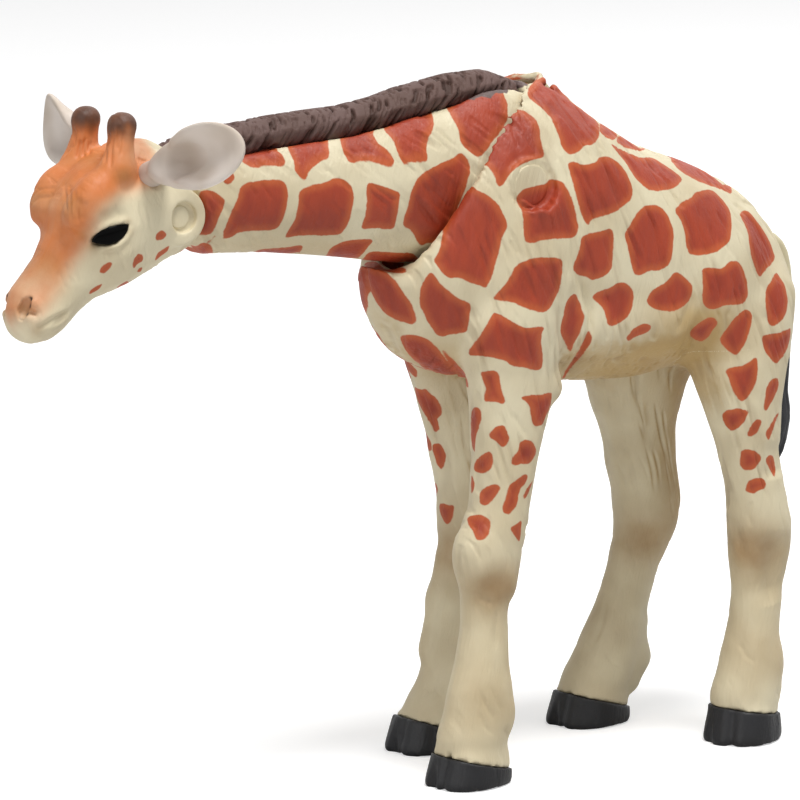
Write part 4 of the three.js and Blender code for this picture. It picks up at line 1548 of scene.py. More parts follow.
@dataclass
class Coat:
    """The patches that pieces of one sub-assembly share, and how they are written on a piece."""

    sets: Sequence[PatchSet]
    stencils: Sequence[Stencil] = ()
    patches: list[Patch | Stencil] = field(default_factory=list)

    def lay_out(self, piece: bpy.types.Object) -> None:
        """Finds where the patches lie on the whole moulding.

        Args:
            piece: the moulding.
        """
        places = [vertex.co for vertex in piece.data.vertices]
        tree = BVHTree.FromPolygons(places, [tuple(face.vertices) for face in piece.data.polygons])
        self.patches = [*self.stencils, *(patch for patch_set in self.sets for patch in patch_set.painted(tree))]

    def paint(self, piece: bpy.types.Object) -> None:
        """Writes how far each vertex of a piece is inside a patch.

        Args:
            piece: the piece.
        """
        places = vertex_places(piece)
        depth = np.full(len(places), BARE)
        for patch in self.patches:
            depth = np.maximum(depth, patch.depth_inside(places))
        store_zone(piece, Zone.PATCH, depth)


@dataclass(frozen=True)
class Fold:
    """A groove, or with a negative depth a ridge, along a line in the camera's view.

    The line is in pixels, the depth and the width in millimetres.
    """

    line: Outline
    depth: float
    width: float

    def traced(self, tree: BVHTree) -> Array:
        """The line on a surface.

        Args:
            tree: the surface.

        Returns:
            Places in millimetres, in the line's order.
        """
        corners = corners_of(self.line)
        steps = np.linspace(0.0, len(corners) - 1, 4 * len(corners))
        points = np.stack([np.interp(steps, np.arange(len(corners)), corners[:, axis]) for axis in (0, 1)], axis=1)
        return CAMERA.traced(tree, points)


def both_hands(folds: Sequence[Fold]) -> list[tuple[Fold, bool]]:
    """Each fold, as it is and mirrored."""
    return [(fold, mirrored) for fold in folds for mirrored in (False, True)]


def dabs(places: Array, spots: Sequence[tuple[float, float, float, float]]) -> Array:
    """How much paint soft dabs leave on each place, on both sides of the figure.

    Args:
        places: points in millimetres.
        spots: each dab's place across and down in the camera's view, its radius in pixels, and its strength.

    Returns:
        Shares of full paint.
    """
    seen = CAMERA.seen_near(places)
    total = np.zeros(len(places))
    for across, down, radius, strength in spots:
        away = np.hypot(seen[:, 0] - across, seen[:, 1] - down) / radius
        total = np.maximum(total, strength * np.exp(-(away**2)))
    return total


def spots(places: Array, sprays: Sequence[Spot]) -> Array:
    """How much paint soft spots leave on each place, in shares of full paint.

    Args:
        places: points in millimetres.
        sprays: each spot's centre and radius in millimetres, and its strength.

    Returns:
        The greatest share that any of them leaves.
    """
    total = np.zeros(len(places))
    for centre, radius, strength in sprays:
        away = (places - np.array(centre)) / np.array([radius * 1.3, radius, radius * 0.9])
        total = np.maximum(total, strength * np.exp(-0.5 * (away**2).sum(1)))
    return total


def press(surface: Surface, folds: Sequence[tuple[Fold, bool]]) -> None:
    """Presses folds into a surface.

    Args:
        surface: the skin, which is changed.
        folds: each fold, and whether it is mirrored to the other side.
    """
    tree = surface.tree()
    normals = surface.normals()
    depth = np.zeros(len(surface.places))
    for fold, mirrored in folds:
        line = fold.traced(tree)
        if len(line) < 2:
            continue
        if mirrored:
            line = line * np.array([1.0, -1.0, 1.0])
        reach = fold.width * 2.5
        near = ((surface.places > line.min(0) - reach) & (surface.places < line.max(0) + reach)).all(axis=1)
        places = surface.places[near]
        lengths = np.concatenate([[0.0], np.cumsum(np.linalg.norm(np.diff(line, axis=0), axis=1))])
        nearest = np.full(len(places), FAR)
        travelled = np.zeros(len(places))
        for start, end, begun, ended in zip(line, line[1:], lengths, lengths[1:]):
            run = end - start
            share = np.clip((places - start) @ run / max(run @ run, 1e-9), 0.0, 1.0)
            gap = np.linalg.norm(places - start - share[:, None] * run, axis=1)
            closer = gap < nearest
            nearest = np.where(closer, gap, nearest)
            travelled = np.where(closer, begun + share * (ended - begun), travelled)
        ends = np.minimum(travelled, lengths[-1] - travelled) / (0.25 * lengths[-1] + 1e-6)
        fading = smoothstep(-0.15, 1.0, ends)
        depth[near] += fold.depth * np.exp(-((nearest / fold.width) ** 2)) * fading
    surface.places -= normals * depth[:, None]


TRUNK_FOLDS = tuple(Fold(*row) for row in (
    ((360, 270, 362, 300, 372, 325, 385, 345), 0.3, 2.5),
    ((728, 184, 745, 205, 762, 228, 775, 252, 783, 285), 0.7, 2.6),
    ((552, 94, 566, 102, 582, 116, 596, 128), 0.35, 1.8),
    ((572, 262, 583, 288, 591, 312, 591, 332, 578, 358, 558, 388), 0.42, 0.5),
    ((566, 270, 576, 292, 583, 314, 582, 330), -0.2, 0.7), ((511, 119, 514, 133, 521, 152), 0.16, 0.24),
    ((494, 138, 499, 147, 512, 155), 0.14, 0.3), ((471, 166, 488, 160, 500, 161), 0.12, 0.3),
    ((521, 165, 516, 176, 513, 190, 518, 197), -0.12, 0.5), ((517, 197, 527, 206, 539, 212, 550, 214), -0.34, 0.34),
    ((519, 203, 528, 212, 538, 222), 0.14, 0.3), ((529, 214, 532, 226, 538, 238), 0.12, 0.22),
    ((484, 206, 489, 222, 494, 245, 497, 262), 0.14, 0.22), ((470, 210, 471, 232, 468, 255), 0.1, 0.3),
    ((478, 250, 486, 268, 490, 284), 0.13, 0.22), ((505, 223, 515, 240, 524, 262), 0.1, 0.2),
    ((519, 262, 530, 285, 537, 303), 0.14, 0.22), ((530, 259, 542, 282, 550, 298), 0.13, 0.2),
    ((541, 257, 551, 276, 557, 292), 0.11, 0.2), ((509, 240, 519, 256), 0.1, 0.18),
    ((580, 201, 588, 226, 593, 250), 0.13, 0.22), ((586, 196, 593, 214, 597, 228), 0.11, 0.2),
    ((597, 190, 603, 206, 608, 222), 0.11, 0.2), ((606, 229, 612, 240, 614, 252), 0.16, 0.22),
    ((624, 229, 629, 248, 637, 270), 0.15, 0.22), ((630, 228, 636, 245, 640, 262), 0.12, 0.2),
    ((648, 210, 655, 226, 659, 246), 0.09, 0.2), ((665, 185, 675, 196, 686, 210), 0.16, 0.22),
    ((683, 216, 692, 236, 700, 258), 0.13, 0.24), ((698, 225, 704, 240, 708, 256), 0.1, 0.2),
    ((704, 258, 711, 276, 713, 296), 0.12, 0.22), ((731, 271, 736, 286, 736, 300), 0.14, 0.24),
    ((716, 262, 722, 280, 721, 300), 0.1, 0.22), ((605, 292, 613, 306, 618, 322), 0.1, 0.22),
    ((694, 290, 690, 306, 684, 322, 672, 336), 0.22, 0.7), ((748, 313, 748, 326, 745, 340), 0.1, 0.2),
    ((497, 318, 500, 336, 505, 354), 0.12, 0.24), ((512, 322, 517, 342, 522, 362), 0.1, 0.24),
    ((440, 285, 443, 304, 448, 326), 0.1, 0.24), ((455, 372, 462, 384, 468, 398), 0.12, 0.3),
    ((488, 375, 486, 394, 484, 412), 0.12, 0.24), ((512, 412, 520, 426, 528, 438), 0.12, 0.26),
    ((521, 448, 527, 458, 531, 470), 0.12, 0.22), ((516, 476, 522, 492, 524, 508), 0.1, 0.24),
    ((497, 530, 504, 546, 508, 562, 505, 578), 0.14, 0.28), ((507, 548, 513, 560, 513, 574), 0.12, 0.24),
    ((462, 552, 466, 570, 472, 588), 0.13, 0.28), ((472, 588, 482, 600, 496, 606), 0.11, 0.3),
    ((496, 606, 497, 630, 494, 652), 0.14, 0.3), ((480, 690, 486, 706, 496, 722), 0.12, 0.24),
    ((490, 684, 496, 700, 502, 712), 0.12, 0.22), ((478, 712, 484, 726, 494, 736), 0.1, 0.22),
    ((505, 728, 510, 738, 516, 744), 0.2, 0.4), ((646, 400, 650, 424, 644, 450), 0.14, 0.5),
    ((620, 420, 628, 446, 624, 470), 0.12, 0.5), ((606, 600, 602, 624, 594, 644), 0.13, 0.3),
    ((604, 650, 612, 662, 622, 668), 0.1, 0.24), ((752, 500, 748, 514, 752, 528), 0.12, 0.3),
    ((766, 566, 772, 590, 772, 612), 0.1, 0.3), ((776, 690, 782, 698, 789, 702), 0.2, 0.4),
    ((740, 642, 746, 656, 756, 664), 0.1, 0.26),
))
LEFT_LEG_FOLDS = tuple(Fold(*row) for row in (
    ((777, 440, 776, 465, 777, 480), 0.4, 1.6), ((778, 530, 775, 555, 774, 580, 775, 605), 0.75, 1.8),
))
NECK_FOLDS = tuple(Fold(*row) for row in (
    ((261, 182, 268, 192, 273, 201), 0.13, 0.2), ((250, 186, 258, 196), 0.1, 0.2),
    ((341, 150, 352, 158, 361, 172), 0.12, 0.2), ((351, 148, 362, 158, 371, 166), 0.1, 0.2),
    ((337, 176, 345, 184, 352, 192), 0.1, 0.2), ((371, 184, 382, 192, 398, 203), 0.13, 0.2),
    ((369, 191, 380, 199, 390, 206), 0.1, 0.2), ((399, 196, 407, 208, 412, 218), 0.12, 0.22),
    ((416, 196, 430, 212, 440, 226), 0.12, 0.2), ((430, 186, 442, 198, 452, 210), 0.1, 0.2),
    ((444, 168, 454, 176), 0.1, 0.2), ((431, 132, 440, 140, 447, 150), 0.1, 0.18),
    ((436, 126, 446, 136, 453, 148), 0.1, 0.18), ((459, 133, 466, 140, 471, 150), 0.11, 0.18),
    ((383, 150, 394, 158, 402, 166), 0.08, 0.2), ((407, 164, 418, 174), 0.08, 0.2),
    ((322, 166, 334, 176, 342, 186), 0.08, 0.2), ((300, 198, 312, 214, 320, 230), 0.08, 0.22),
    ((330, 200, 340, 212, 346, 222), 0.07, 0.22), ((250, 240, 254, 248), 0.1, 0.2), ((272, 238, 276, 247), 0.1, 0.2),
    ((222, 240, 228, 250), 0.1, 0.22), ((236, 166, 246, 176), 0.1, 0.2), ((208, 200, 214, 214), 0.08, 0.2),
))
HEMS = {
    "front_left": Hem((-1.07, 7.57), 2.2, 0.25),
    "front_right": Hem((-6.99, -7.62), 2.5, 0.3),
    "rear_left": Hem((-35.66, 6.95), 3.05, 0.17),
    "rear_right": Hem((-27.68, -8.42), 2.45, 0.28),
}


@dataclass
class Trunk:
    """Body and legs, moulded in halves and painted as one."""

    voxel: float = 0.3
    blur: float = 0.55
    blur_limit: float = 0.22
    regrow: float = 0.06
    band: float = 4.0
    leg_joint: float = 40.48
    muscle_joint: float = 2.4
    limb_joint: float = 1.2
    crest_joint: float = 0.5
    lip_joint: float = 0.9
    recess_edge: float = 0.3
    sole: float = 0.08
    hair: tuple[HairLines, ...] = (
        HairLines((-0.33, 0.0, -0.94), 0.68, 7.0, 0.15, 11, 0.55),
        HairLines((-0.30, 0.0, -0.95), 0.42, 5.0, 0.13, 31, 0.7),
    )
    hoof_grain: HairLines = HairLines((0.0, 0.0, -1.0), 0.5, 2.2, 0.05, 3, 0.7)
    muscles: tuple[Solid, ...] = (
        Blob((-30.5, 5.6, 46.0), (7.0, 4.2, 4.6), -75.0),
        Blob((-7.4, 5.6, 48.0), (8.6, 4.6, 4.6), 80.0),
        Rod((-24.0, 7.4, 43.5), (-14.5, 7.2, 44.0), 2.5, 2.5),
    )
    limbs: tuple[Solid, ...] = (
        *chain(((-6.3, -7.1, 39.5), (-9.2, -7.2, 30.6), (-10.5, -7.2, 22.5)), (2.1, 2.0, 2.1)),
        *chain(((-7.4, 7.2, 37.3), (-5.0, 7.3, 25.6), (-4.0, 7.3, 19.7)), (2.3, 2.1, 2.2)),
        *chain(((-28.9, -7.6, 37.5), (-30.5, -7.7, 34.0), (-32.6, -7.8, 27.0), (-33.6, -7.8, 22.5)),
               (2.8, 2.7, 2.6, 2.5)),
        Blob((-10.4, 7.0, 38.6), (1.6, 2.0, 1.6)),
        *chain(((-9.5, -7.6, 19.1), (-8.65, -7.6, 15.1), (-7.45, -7.6, 10.1)), (1.6, 1.6, 1.6)),
        Blob((-2.2, 7.4, 22.4), (2.3, 2.4, 2.8)),
        Blob((-11.0, -7.3, 21.2), (2.4, 2.4, 2.8)),
        Blob((-3.9, 7.6, 6.6), (1.6, 2.4, 2.3)),
        *chain(((-33.2, -8.0, 9.8), (-33.1, -8.0, 6.2), (-32.1, -8.1, 3.8)), (1.1, 1.4, 1.4)),
        Blob((-37.7, 7.6, 8.2), (1.5, 2.1, 2.2)),
        Blob((-10.4, -7.6, 6.6), (1.6, 2.2, 2.2)),
    )
    crest: tuple[Solid, ...] = (
        *chain(((-9.6, 4.5, 66.9), (-11.6, 3.1, 67.4), (-13.4, 2.0, 67.9), (-14.5, 0.0, 68.1), (-13.4, -2.0, 67.9),
                (-11.6, -3.1, 67.4), (-9.6, -4.5, 66.9)), (0.3, 0.5, 0.5, 0.5, 0.5, 0.5, 0.3)),
        *(rod for y in (-2.4, -0.8, 0.8, 2.4)
          for rod in chain(((-14.7, y, 67.2), (-15.8, y, 65.8), (-17.3, y, 64.5), (-18.6, y, 63.4)),
                           (0.5, 0.6, 0.7, 0.8))),
    )
    bore_plugs: tuple[Solid, ...] = (Drum((-7.7, 7.6, 58.75), 2.7, 0.7),)
    lips: tuple[Solid, ...] = (Blob((-9.0, 8.3, 56.2), (2.6, 1.6, 1.9)), Blob((-10.4, 7.4, 57.6), (1.6, 1.5, 2.0)))
    recesses: tuple[Solid, ...] = (Drum((-7.85, 10.9, 58.7), 2.42, 2.6),)
    brown_spots: tuple[Spot, ...] = (
        ((-3.0, 9.0, 19.8), 2.2, 0.8), ((-1.5, 8.0, 20.8), 3.4, 0.3), ((-8.6, -6.2, 20.2), 2.8, 0.6),
        ((-34.6, 9.4, 20.0), 2.6, 0.75), ((-32.8, -6.2, 18.9), 2.5, 0.7), ((-36.6, -8.0, 17.4), 2.4, 0.6),
        ((-2.0, 8.5, 8.2), 2.8, 0.3), ((-36.6, 9.0, 9.5), 2.6, 0.35), ((-30.0, -7.0, 9.0), 2.6, 0.25),
        ((-8.0, -6.5, 9.0), 2.6, 0.25),
    )
    # tan spots in the flanks and the groin: sprayed tan and painted shade in the hollows
    tan_and_shade_spots: tuple[Spot, ...] = (
        ((-27.0, 8.0, 42.5), 3.6, 1.0), ((-27.0, -8.0, 42.5), 3.6, 1.0), ((-30.0, 7.5, 38.0), 2.8, 0.6),
        ((-23.0, 6.0, 39.0), 3.4, 0.4), ((-23.0, -6.0, 39.0), 3.4, 0.4), ((-36.5, 7.0, 32.0), 2.4, 0.3),
    )
    coat: Coat = field(default_factory=lambda: Coat(
        (TRUNK_PATCHES, FRONT_LEG_PATCHES, REAR_LEG_PATCHES, LONE_PATCHES), SHOULDER_STENCILS))

    def moulding(self) -> bpy.types.Object:
        """The whole skin of body and legs, before it is split.

        Returns:
            One object with its sprayed shades.
        """
        names = ["torso_left_shell", "torso_right_shell"]
        names += [f"{leg}_{part}" for leg in HEMS for part in ("leg", "hoof")]
        block = Block.of_nodes(names, self.voxel, self.band)
        block.smooth(self.blur, self.blur_limit)
        block.grow(self.regrow)
        block.add(both_sides(self.muscles), self.muscle_joint)
        block.add(self.limbs, self.limb_joint)
        block.add(self.crest, self.crest_joint)
        block.add(both_sides(self.bore_plugs), 0.1)
        block.add(both_sides(self.lips), self.lip_joint)
        block.carve(both_sides(self.recesses), self.recess_edge)
        for hem in HEMS.values():
            block.trim(hem, True)
        fine = block.surface().refined()
        press(fine, [*both_hands(TRUNK_FOLDS), *((fold, False) for fold in LEFT_LEG_FOLDS)])
        cuts = self.engrave(fine)
        whole = fine.as_object("trunk")
        store_zone(whole, Zone.SKIN, np.ones(len(cuts)))
        # painted shade in the hair lines, darker where they are deeper
        store_zone(whole, Zone.GROOVE, smoothstep(0.05, 0.26, cuts) * GROOVE_SHADE)
        self.shade(whole)
        return whole

    def shade(self, piece: bpy.types.Object) -> None:
        """Lays the sprayed tan and brown on the whole skin, and painted shade in tan under the belly, in the flank
        hollows, on the inner and rear faces of the legs and on the lower legs.

        Args:
            piece: the skin of body and legs.
        """
        places, normals = vertex_places(piece), vertex_normals(piece)
        height = places[:, 2]
        rearward = smoothstep(-0.5, 0.7, -normals[:, 0]) * smoothstep(9.0, 26.0, height)
        inward = smoothstep(-0.1, 0.9, -normals[:, 1] * np.sign(places[:, 1]))
        # tan on the inner faces of the legs, most on their rear faces: sprayed tan and painted shade
        low = inward * (1 - smoothstep(36.0, 46.0, height)) * (0.05 + 0.85 * rearward)
        # tan paint and painted shade on the faces that look down under the belly
        belly_tan_and_shade = smoothstep(0.0, 0.9, -normals[:, 2]) * 0.6 * smoothstep(30.0, 36.0, height)
        # painted shade on the outer faces of the lower legs
        shank_shade = 0.3 * (1 - inward) * smoothstep(3.0, 8.0, height) * (1 - smoothstep(17.0, 23.0, height))
        store_zone(piece, Zone.TAN, np.clip(low + belly_tan_and_shade + shank_shade + spots(places, self.tan_and_shade_spots), 0.0, 1.0))
        store_zone(piece, Zone.BROWN, spots(places, self.brown_spots))

    def engrave(self, surface: Surface) -> Array:
        """Cuts hair lines into the skin.

        Args:
            surface: the skin, which is changed.

        Returns:
            How deep the lines are at each vertex, in millimetres.
        """
        height = surface.places[:, 2]
        fading = smoothstep(14.0, 30.0, height) * 0.75 + 0.25
        wall = 1 - sprayed(surface.places, both_sides(self.recesses), 1.2)
        depth = sum(lines.depths(surface.places) for lines in self.hair) * (fading * wall)
        surface.places -= surface.normals() * depth[:, None]
        return depth

    def build(self, finishes: Finishes) -> None:
        """Makes the body's halves and the legs.

        Args:
            finishes: the materials.
        """
        rest = self.moulding()
        self.coat.lay_out(rest)
        cutters = [self.leg_cutter(leg) for leg in HEMS]
        for leg, cutter in zip(HEMS, cutters):
            self.dress(split(rest, cutter, f"{leg}_leg_painted", True), finishes, f"{leg}_leg")
            smaller = split(rest, cutter, "rest", False)
            bpy.data.objects.remove(rest)
            rest = smaller
            self.hoof(leg, finishes)
        for cutter in cutters:
            bpy.data.objects.remove(cutter)
        for side, part in halves(rest, "torso"):
            self.dress(part, finishes, f"torso_{side}_shell")

    def leg_cutter(self, leg: str) -> bpy.types.Object:
        """A closed form round one leg, up to where it joins the body.

        Args:
            leg: which leg.

        Returns:
            The form to cut with.
        """
        block = Block.of_nodes([f"{leg}_leg", f"{leg}_hoof"], 0.5, self.band, self.band)
        block.grow(1.5)
        block.values = np.maximum(block.values, (block.axes()[2] - self.leg_joint).astype(np.float32))
        return block.surface().as_object(f"{leg}_cutter")

    def hoof(self, leg: str, finishes: Finishes) -> None:
        """A black cloven hoof below a leg's hem.

        Args:
            leg: which leg.
            finishes: the materials.
        """
        hem = HEMS[leg]
        x, y = hem.middle
        block = Block.of_nodes([f"{leg}_hoof"], 0.16, 1.6, 1.2)
        block.add_node(f"{leg}_leg")
        block.smooth(0.4, 0.3)
        block.grow(0.2)
        block.add([Rod((x + 1.6, claw, 1.3), (x - 1.2, claw, 1.3), 1.3, 1.3) for claw in (y - 1.7, y + 1.7)], 0.8)
        block.carve([Rod((x + 4.6, y, 3.6), (x + 5.0, y, -0.4), 0.4, 0.75),
                     Rod((x + 3.4, y, 3.6), (x + 3.4, y, -0.4), 0.1, 0.3)], 0.35)
        block.carve([Drum((x, y, self.sole - FAR / 2), FAR / 2, 20.0)], 0.1)
        block.trim(hem, False)
        surface = block.surface()
        surface.places -= surface.normals() * self.hoof_grain.depths(surface.places)[:, None]
        piece = surface.as_object(f"{leg}_hoof_painted")
        hand_over(piece, Body.TRUNK, [f"{leg}_hoof"], finishes.hoof)

    def dress(self, piece: bpy.types.Object, finishes: Finishes, node: str) -> None:
        """Paints a piece of the moulding, which stands for a CAD node."""
        self.coat.paint(piece)
        hand_over(piece, Body.TRUNK, [node], finishes.coat)


@dataclass
class Neck:
    """The neck's two halves, with the mane along the top."""

    voxel: float = 0.26
    blur: float = 0.4
    blur_limit: float = 0.25
    regrow: float = 0.06
    hair: tuple[HairLines, ...] = (
        HairLines((-0.75, 0.0, -0.66), 0.8, 5.5, 0.12, 23, 0.55),
        HairLines((-0.70, 0.0, -0.71), 0.38, 3.6, 0.075, 27, 0.6),
    )
    mane_hair: tuple[HairLines, ...] = (
        HairLines((-0.5, 0.0, 0.87), 0.36, 2.4, 0.3, 41, 1.2),
        HairLines((-0.38, 0.0, 0.92), 0.22, 1.6, 0.14, 43, 1.2),
    )
    mane_head: tuple[Solid, ...] = tuple(
        chain(((25.0, 0.0, 64.2), (28.5, 0.0, 63.8), (30.2, 0.0, 63.7)), (1.1, 0.8, 0.5)))
    mane_hem: Outline = (180, 156, 250, 143, 310, 132, 380, 121, 430, 107, 480, 98, 520, 88)
    mane_foot: tuple[tuple[float, ...], tuple[float, ...]] = (
        (-8.3, -5.9, 0.1, 6.0, 14.2, 21.1, 29.0), (67.4, 67.0, 66.2, 65.2, 64.6, 64.0, 63.4))

    def build(self, finishes: Finishes) -> None:
        """Makes the halves of the neck and the mane.

        Args:
            finishes: the materials.
        """
        block = Block.of_nodes(["neck_left_half", "neck_right_half"], self.voxel, 2.5)
        block.smooth(self.blur, self.blur_limit)
        block.grow(self.regrow)
        fine = block.surface().refined()
        press(fine, both_hands(NECK_FOLDS))
        depth = sum(lines.depths(fine.places) for lines in self.hair)
        fine.places -= fine.normals() * depth[:, None]
        whole = fine.as_object("neck_whole")
        store_zone(whole, Zone.SKIN, np.ones(len(depth)))
        # painted shade in the hair lines, darker where they are deeper
        store_zone(whole, Zone.GROOVE, smoothstep(0.05, 0.24, depth) * GROOVE_SHADE)
        coat = Coat((NECK_PATCHES,))
        coat.lay_out(whole)
        for side, part in halves(whole, "neck"):
            coat.paint(part)
            # tan paint and painted shade on the faces that look down under the neck
            store_zone(part, Zone.TAN, 0.35 * smoothstep(0.3, 1.0, -vertex_normals(part)[:, 2]))
            store_zone(part, Zone.MANE, self.under_mane(vertex_places(part)))
            hand_over(part, Body.NECK, [f"neck_{side}_half"], finishes.coat)
        self.mane(finishes)

    def under_mane(self, places: Array) -> Array:
        """How far the mane's paint runs down past each place, with a ragged edge.

        Args:
            places: points of the neck's skin in millimetres.

        Returns:
            Tens of pixels, negative below the paint.
        """
        across, down = CAMERA.seen_near(places).T
        hem = corners_of(self.mane_hem)
        ragged = smooth_noise(places * np.array([1.3, 0.3, 0.3]), 71) * 3.0
        ragged += smooth_noise(places * np.array([3.4, 0.5, 0.6]), 72) * 2.2
        return (np.interp(across, hem[:, 0], hem[:, 1]) + ragged - down) / 10

    def mane(self, finishes: Finishes) -> None:
        """The mane, a ridge of short upright hair.

        Args:
            finishes: the materials.
        """
        block = Block.of_nodes(["mane"], 0.16, 2.0, 3.5)
        block.smooth(0.3)
        block.grow(0.1)
        block.add(self.mane_head, 1.0)
        fine = block.surface().refined()
        depth = sum(lines.depths(fine.places) for lines in self.mane_hair)
        hem = np.interp(fine.places[:, 0], *self.mane_foot)
        tapered = np.clip(hem + 0.9 - fine.places[:, 2], 0.0, 1.8) * np.clip(np.abs(fine.places[:, 1]), 0.0, 1.0)
        fine.places[:, 1] -= np.sign(fine.places[:, 1]) * tapered * 0.55
        fine.places -= fine.normals() * (depth - 0.18)[:, None]
        piece = fine.as_object("mane_painted")
        # painted shade in the grooves between the mane's strands
        store_zone(piece, Zone.GROOVE, smoothstep(0.06, 0.42, depth) * 1.4)
        hand_over(piece, Body.NECK, ["mane"], finishes.mane)


@dataclass
class Tail:
    """The tail: a cream stem that hangs down, with a black tuft."""

    tuft: tuple[Solid, ...] = tuple(chain(
        ((-44.6, 0.0, 37.0), (-44.3, 0.0, 31.0), (-43.2, 0.0, 27.0), (-42.4, 0.0, 25.2)), (0.9, 1.45, 1.15, 0.4)))
    top_of_tuft: float = 37.0
    strands: HairLines = HairLines((0.1, 0.0, -1.0), 0.5, 5.0, 0.16, 51, 1.2)

    def build(self, finishes: Finishes) -> None:
        """Makes the tail.

        Args:
            finishes: the materials.
        """
        block = Block.of_nodes(["tail"], 0.15, 1.6, 2.4)
        block.smooth(0.2)
        block.grow(0.02)
        block.add(self.tuft, 0.8)
        fine = block.surface()
        height = fine.places[:, 2]
        strands = self.strands.depths(fine.places)
        fine.places -= fine.normals() * (strands * (1 - smoothstep(36.5, 38.5, height)))[:, None]
        piece = fine.as_object("tail_painted")
        ragged = height + smooth_noise(fine.places * 1.6, 53)
        store_zone(piece, Zone.DARK, 1 - smoothstep(self.top_of_tuft, self.top_of_tuft + 0.8, ragged))
        hand_over(piece, Body.TRUNK, ["tail"], finishes.tuft)


@dataclass
class Pins:
    """The two pins, whose ends show in the shoulder and in the cheek."""

    shoulder: Drum = Drum((-7.7, 0.0, 58.75), 2.1, 8.45)
    cheek: Drum = Drum((30.5, 0.0, 58.1), 1.18, 4.5)

    def build(self, finishes: Finishes, coat: Coat) -> None:
        """Makes both pins.

        Args:
            finishes: the materials.
            coat: where the trunk's patches lie, because one runs over the shoulder pin.
        """
        for name, shape, body, material in (
            ("neck_pivot_pin", self.shoulder, Body.TRUNK, finishes.coat),
            ("head_pivot_pin", self.cheek, Body.HEAD, finishes.face),
        ):
            block = Block.of_nodes([name], 0.15, 1.2, 1.5)
            block.values = np.full_like(block.values, 1.2)
            block.add([shape], 0.01)
            block.smooth(0.12)
            piece = block.surface().refined().as_object(f"{name}_painted")
            (coat if body is Body.TRUNK else Coat(())).paint(piece)
            hand_over(piece, body, [name], material)


@dataclass
class Ear:
    """One cupped ear."""

    side: str
    leaf: Blob = Blob((33.0, 13.1, 65.05), (4.7, 0.8, 3.05), -17.4, 103.0)
    root: tuple[Solid, ...] = (
        Blob((33.1, 9.6, 64.1), (4.0, 0.8, 2.3), -17.4, 103.0),
        Rod((32.6, 4.0, 62.4), (33.2, 7.6, 63.6), 1.25, 0.9),
    )
    cup: tuple[Solid, ...] = (
        Blob((33.95, 13.0, 65.05), (3.95, 0.85, 2.35), -17.4, 103.0),
        Blob((34.1, 9.6, 64.1), (3.2, 0.8, 1.5), -17.4, 103.0),
    )
    # where painted shade lies in the cup: deep in its middle, and low along its lower part
    deep: Blob = Blob((33.2, 9.2, 64.0), (2.6, 2.4, 1.4))
    low: Blob = Blob((33.2, 11.0, 62.9), (1.6, 3.4, 0.8))

    def build(self, finishes: Finishes) -> None:
        """Makes the ear.

        Args:
            finishes: the materials.
        """
        node = f"{self.side}_ear"
        block = Block.of_nodes(["left_ear"], 0.13, 2.0, 2.2)
        block.values = np.full_like(block.values, 2.0)
        block.add([self.leaf], 0.01)
        block.add(self.root, 1.6)
        block.carve(self.cup, 0.5)
        block.smooth(0.12)
        fine = block.surface()
        turn, dip = math.radians(self.leaf.turn), math.radians(self.leaf.dip)
        offsets = fine.places - np.array(self.leaf.centre)
        level = offsets[:, 0] * math.cos(turn) + offsets[:, 1] * math.sin(turn)
        over = level * math.sin(dip) + offsets[:, 2] * math.cos(dip)
        along = level * math.cos(dip) - offsets[:, 2] * math.sin(dip)
        forward = np.array([math.sin(turn), -math.cos(turn), 0.0])
        curl = 0.11 * over**2 * smoothstep(-8.0, -2.0, along) + 0.012 * (along - 1.0) ** 2
        front = smoothstep(0.2, 0.9, fine.normals() @ forward)
        hollow = 1 - smoothstep(0.7, 1.05, np.hypot((along + 1.0) / 5.6, over / 2.8))
        fine.places += forward * (curl - 0.4)[:, None]
        # painted shade in the cup's hollow, on its front
        shade = sprayed(fine.places, [self.deep], 5.2) * 0.5
        low = sprayed(fine.places, [self.low], 2.4) * 0.34
        if self.side == "right":
            fine.mirror()
        piece = fine.as_object(f"{node}_painted")
        root = 0.4 * (1 - smoothstep(5.5, 9.0, np.abs(fine.places[:, 1])))
        # painted shade in the cup, and the head's darker paint on the root
        store_zone(piece, Zone.DARK, np.maximum(np.maximum(shade, low) * front * hollow, root))
        hand_over(piece, Body.HEAD, [node], finishes.ear)


@dataclass
class Eye:
    """One black eye: an almond between the lids."""

    side: str
    ball: ClassVar[Blob] = Blob((38.4, 3.6, 57.15), (3.1, 1.72, 2.1), 21.0, -13.0)
    opening: ClassVar[Outline] = (
        91, 242, 94, 236.5, 100, 231, 109, 227, 119, 225, 128, 224, 128, 230, 124, 237, 117, 242, 110, 244.5,
        101, 244.5, 95, 243)

    def build(self, finishes: Finishes) -> None:
        """Makes the eye.

        Args:
            finishes: the materials.
        """
        node = f"{self.side}_eye"
        block = Block.of_nodes(["left_eye"], 0.07, 0.9, 1.3)
        outside = block.outside_opening(self.opening)
        shell = self.ball.distance(*block.axes())
        block.values = np.clip(np.maximum(np.maximum(outside, shell), -shell - 0.8), -0.9, 0.9).astype(np.float32)
        block.smooth(0.07)
        fine = block.surface()
        if self.side == "right":
            fine.mirror()
        piece = fine.as_object(f"{node}_painted")
        hand_over(piece, Body.HEAD, [node], finishes.eye)


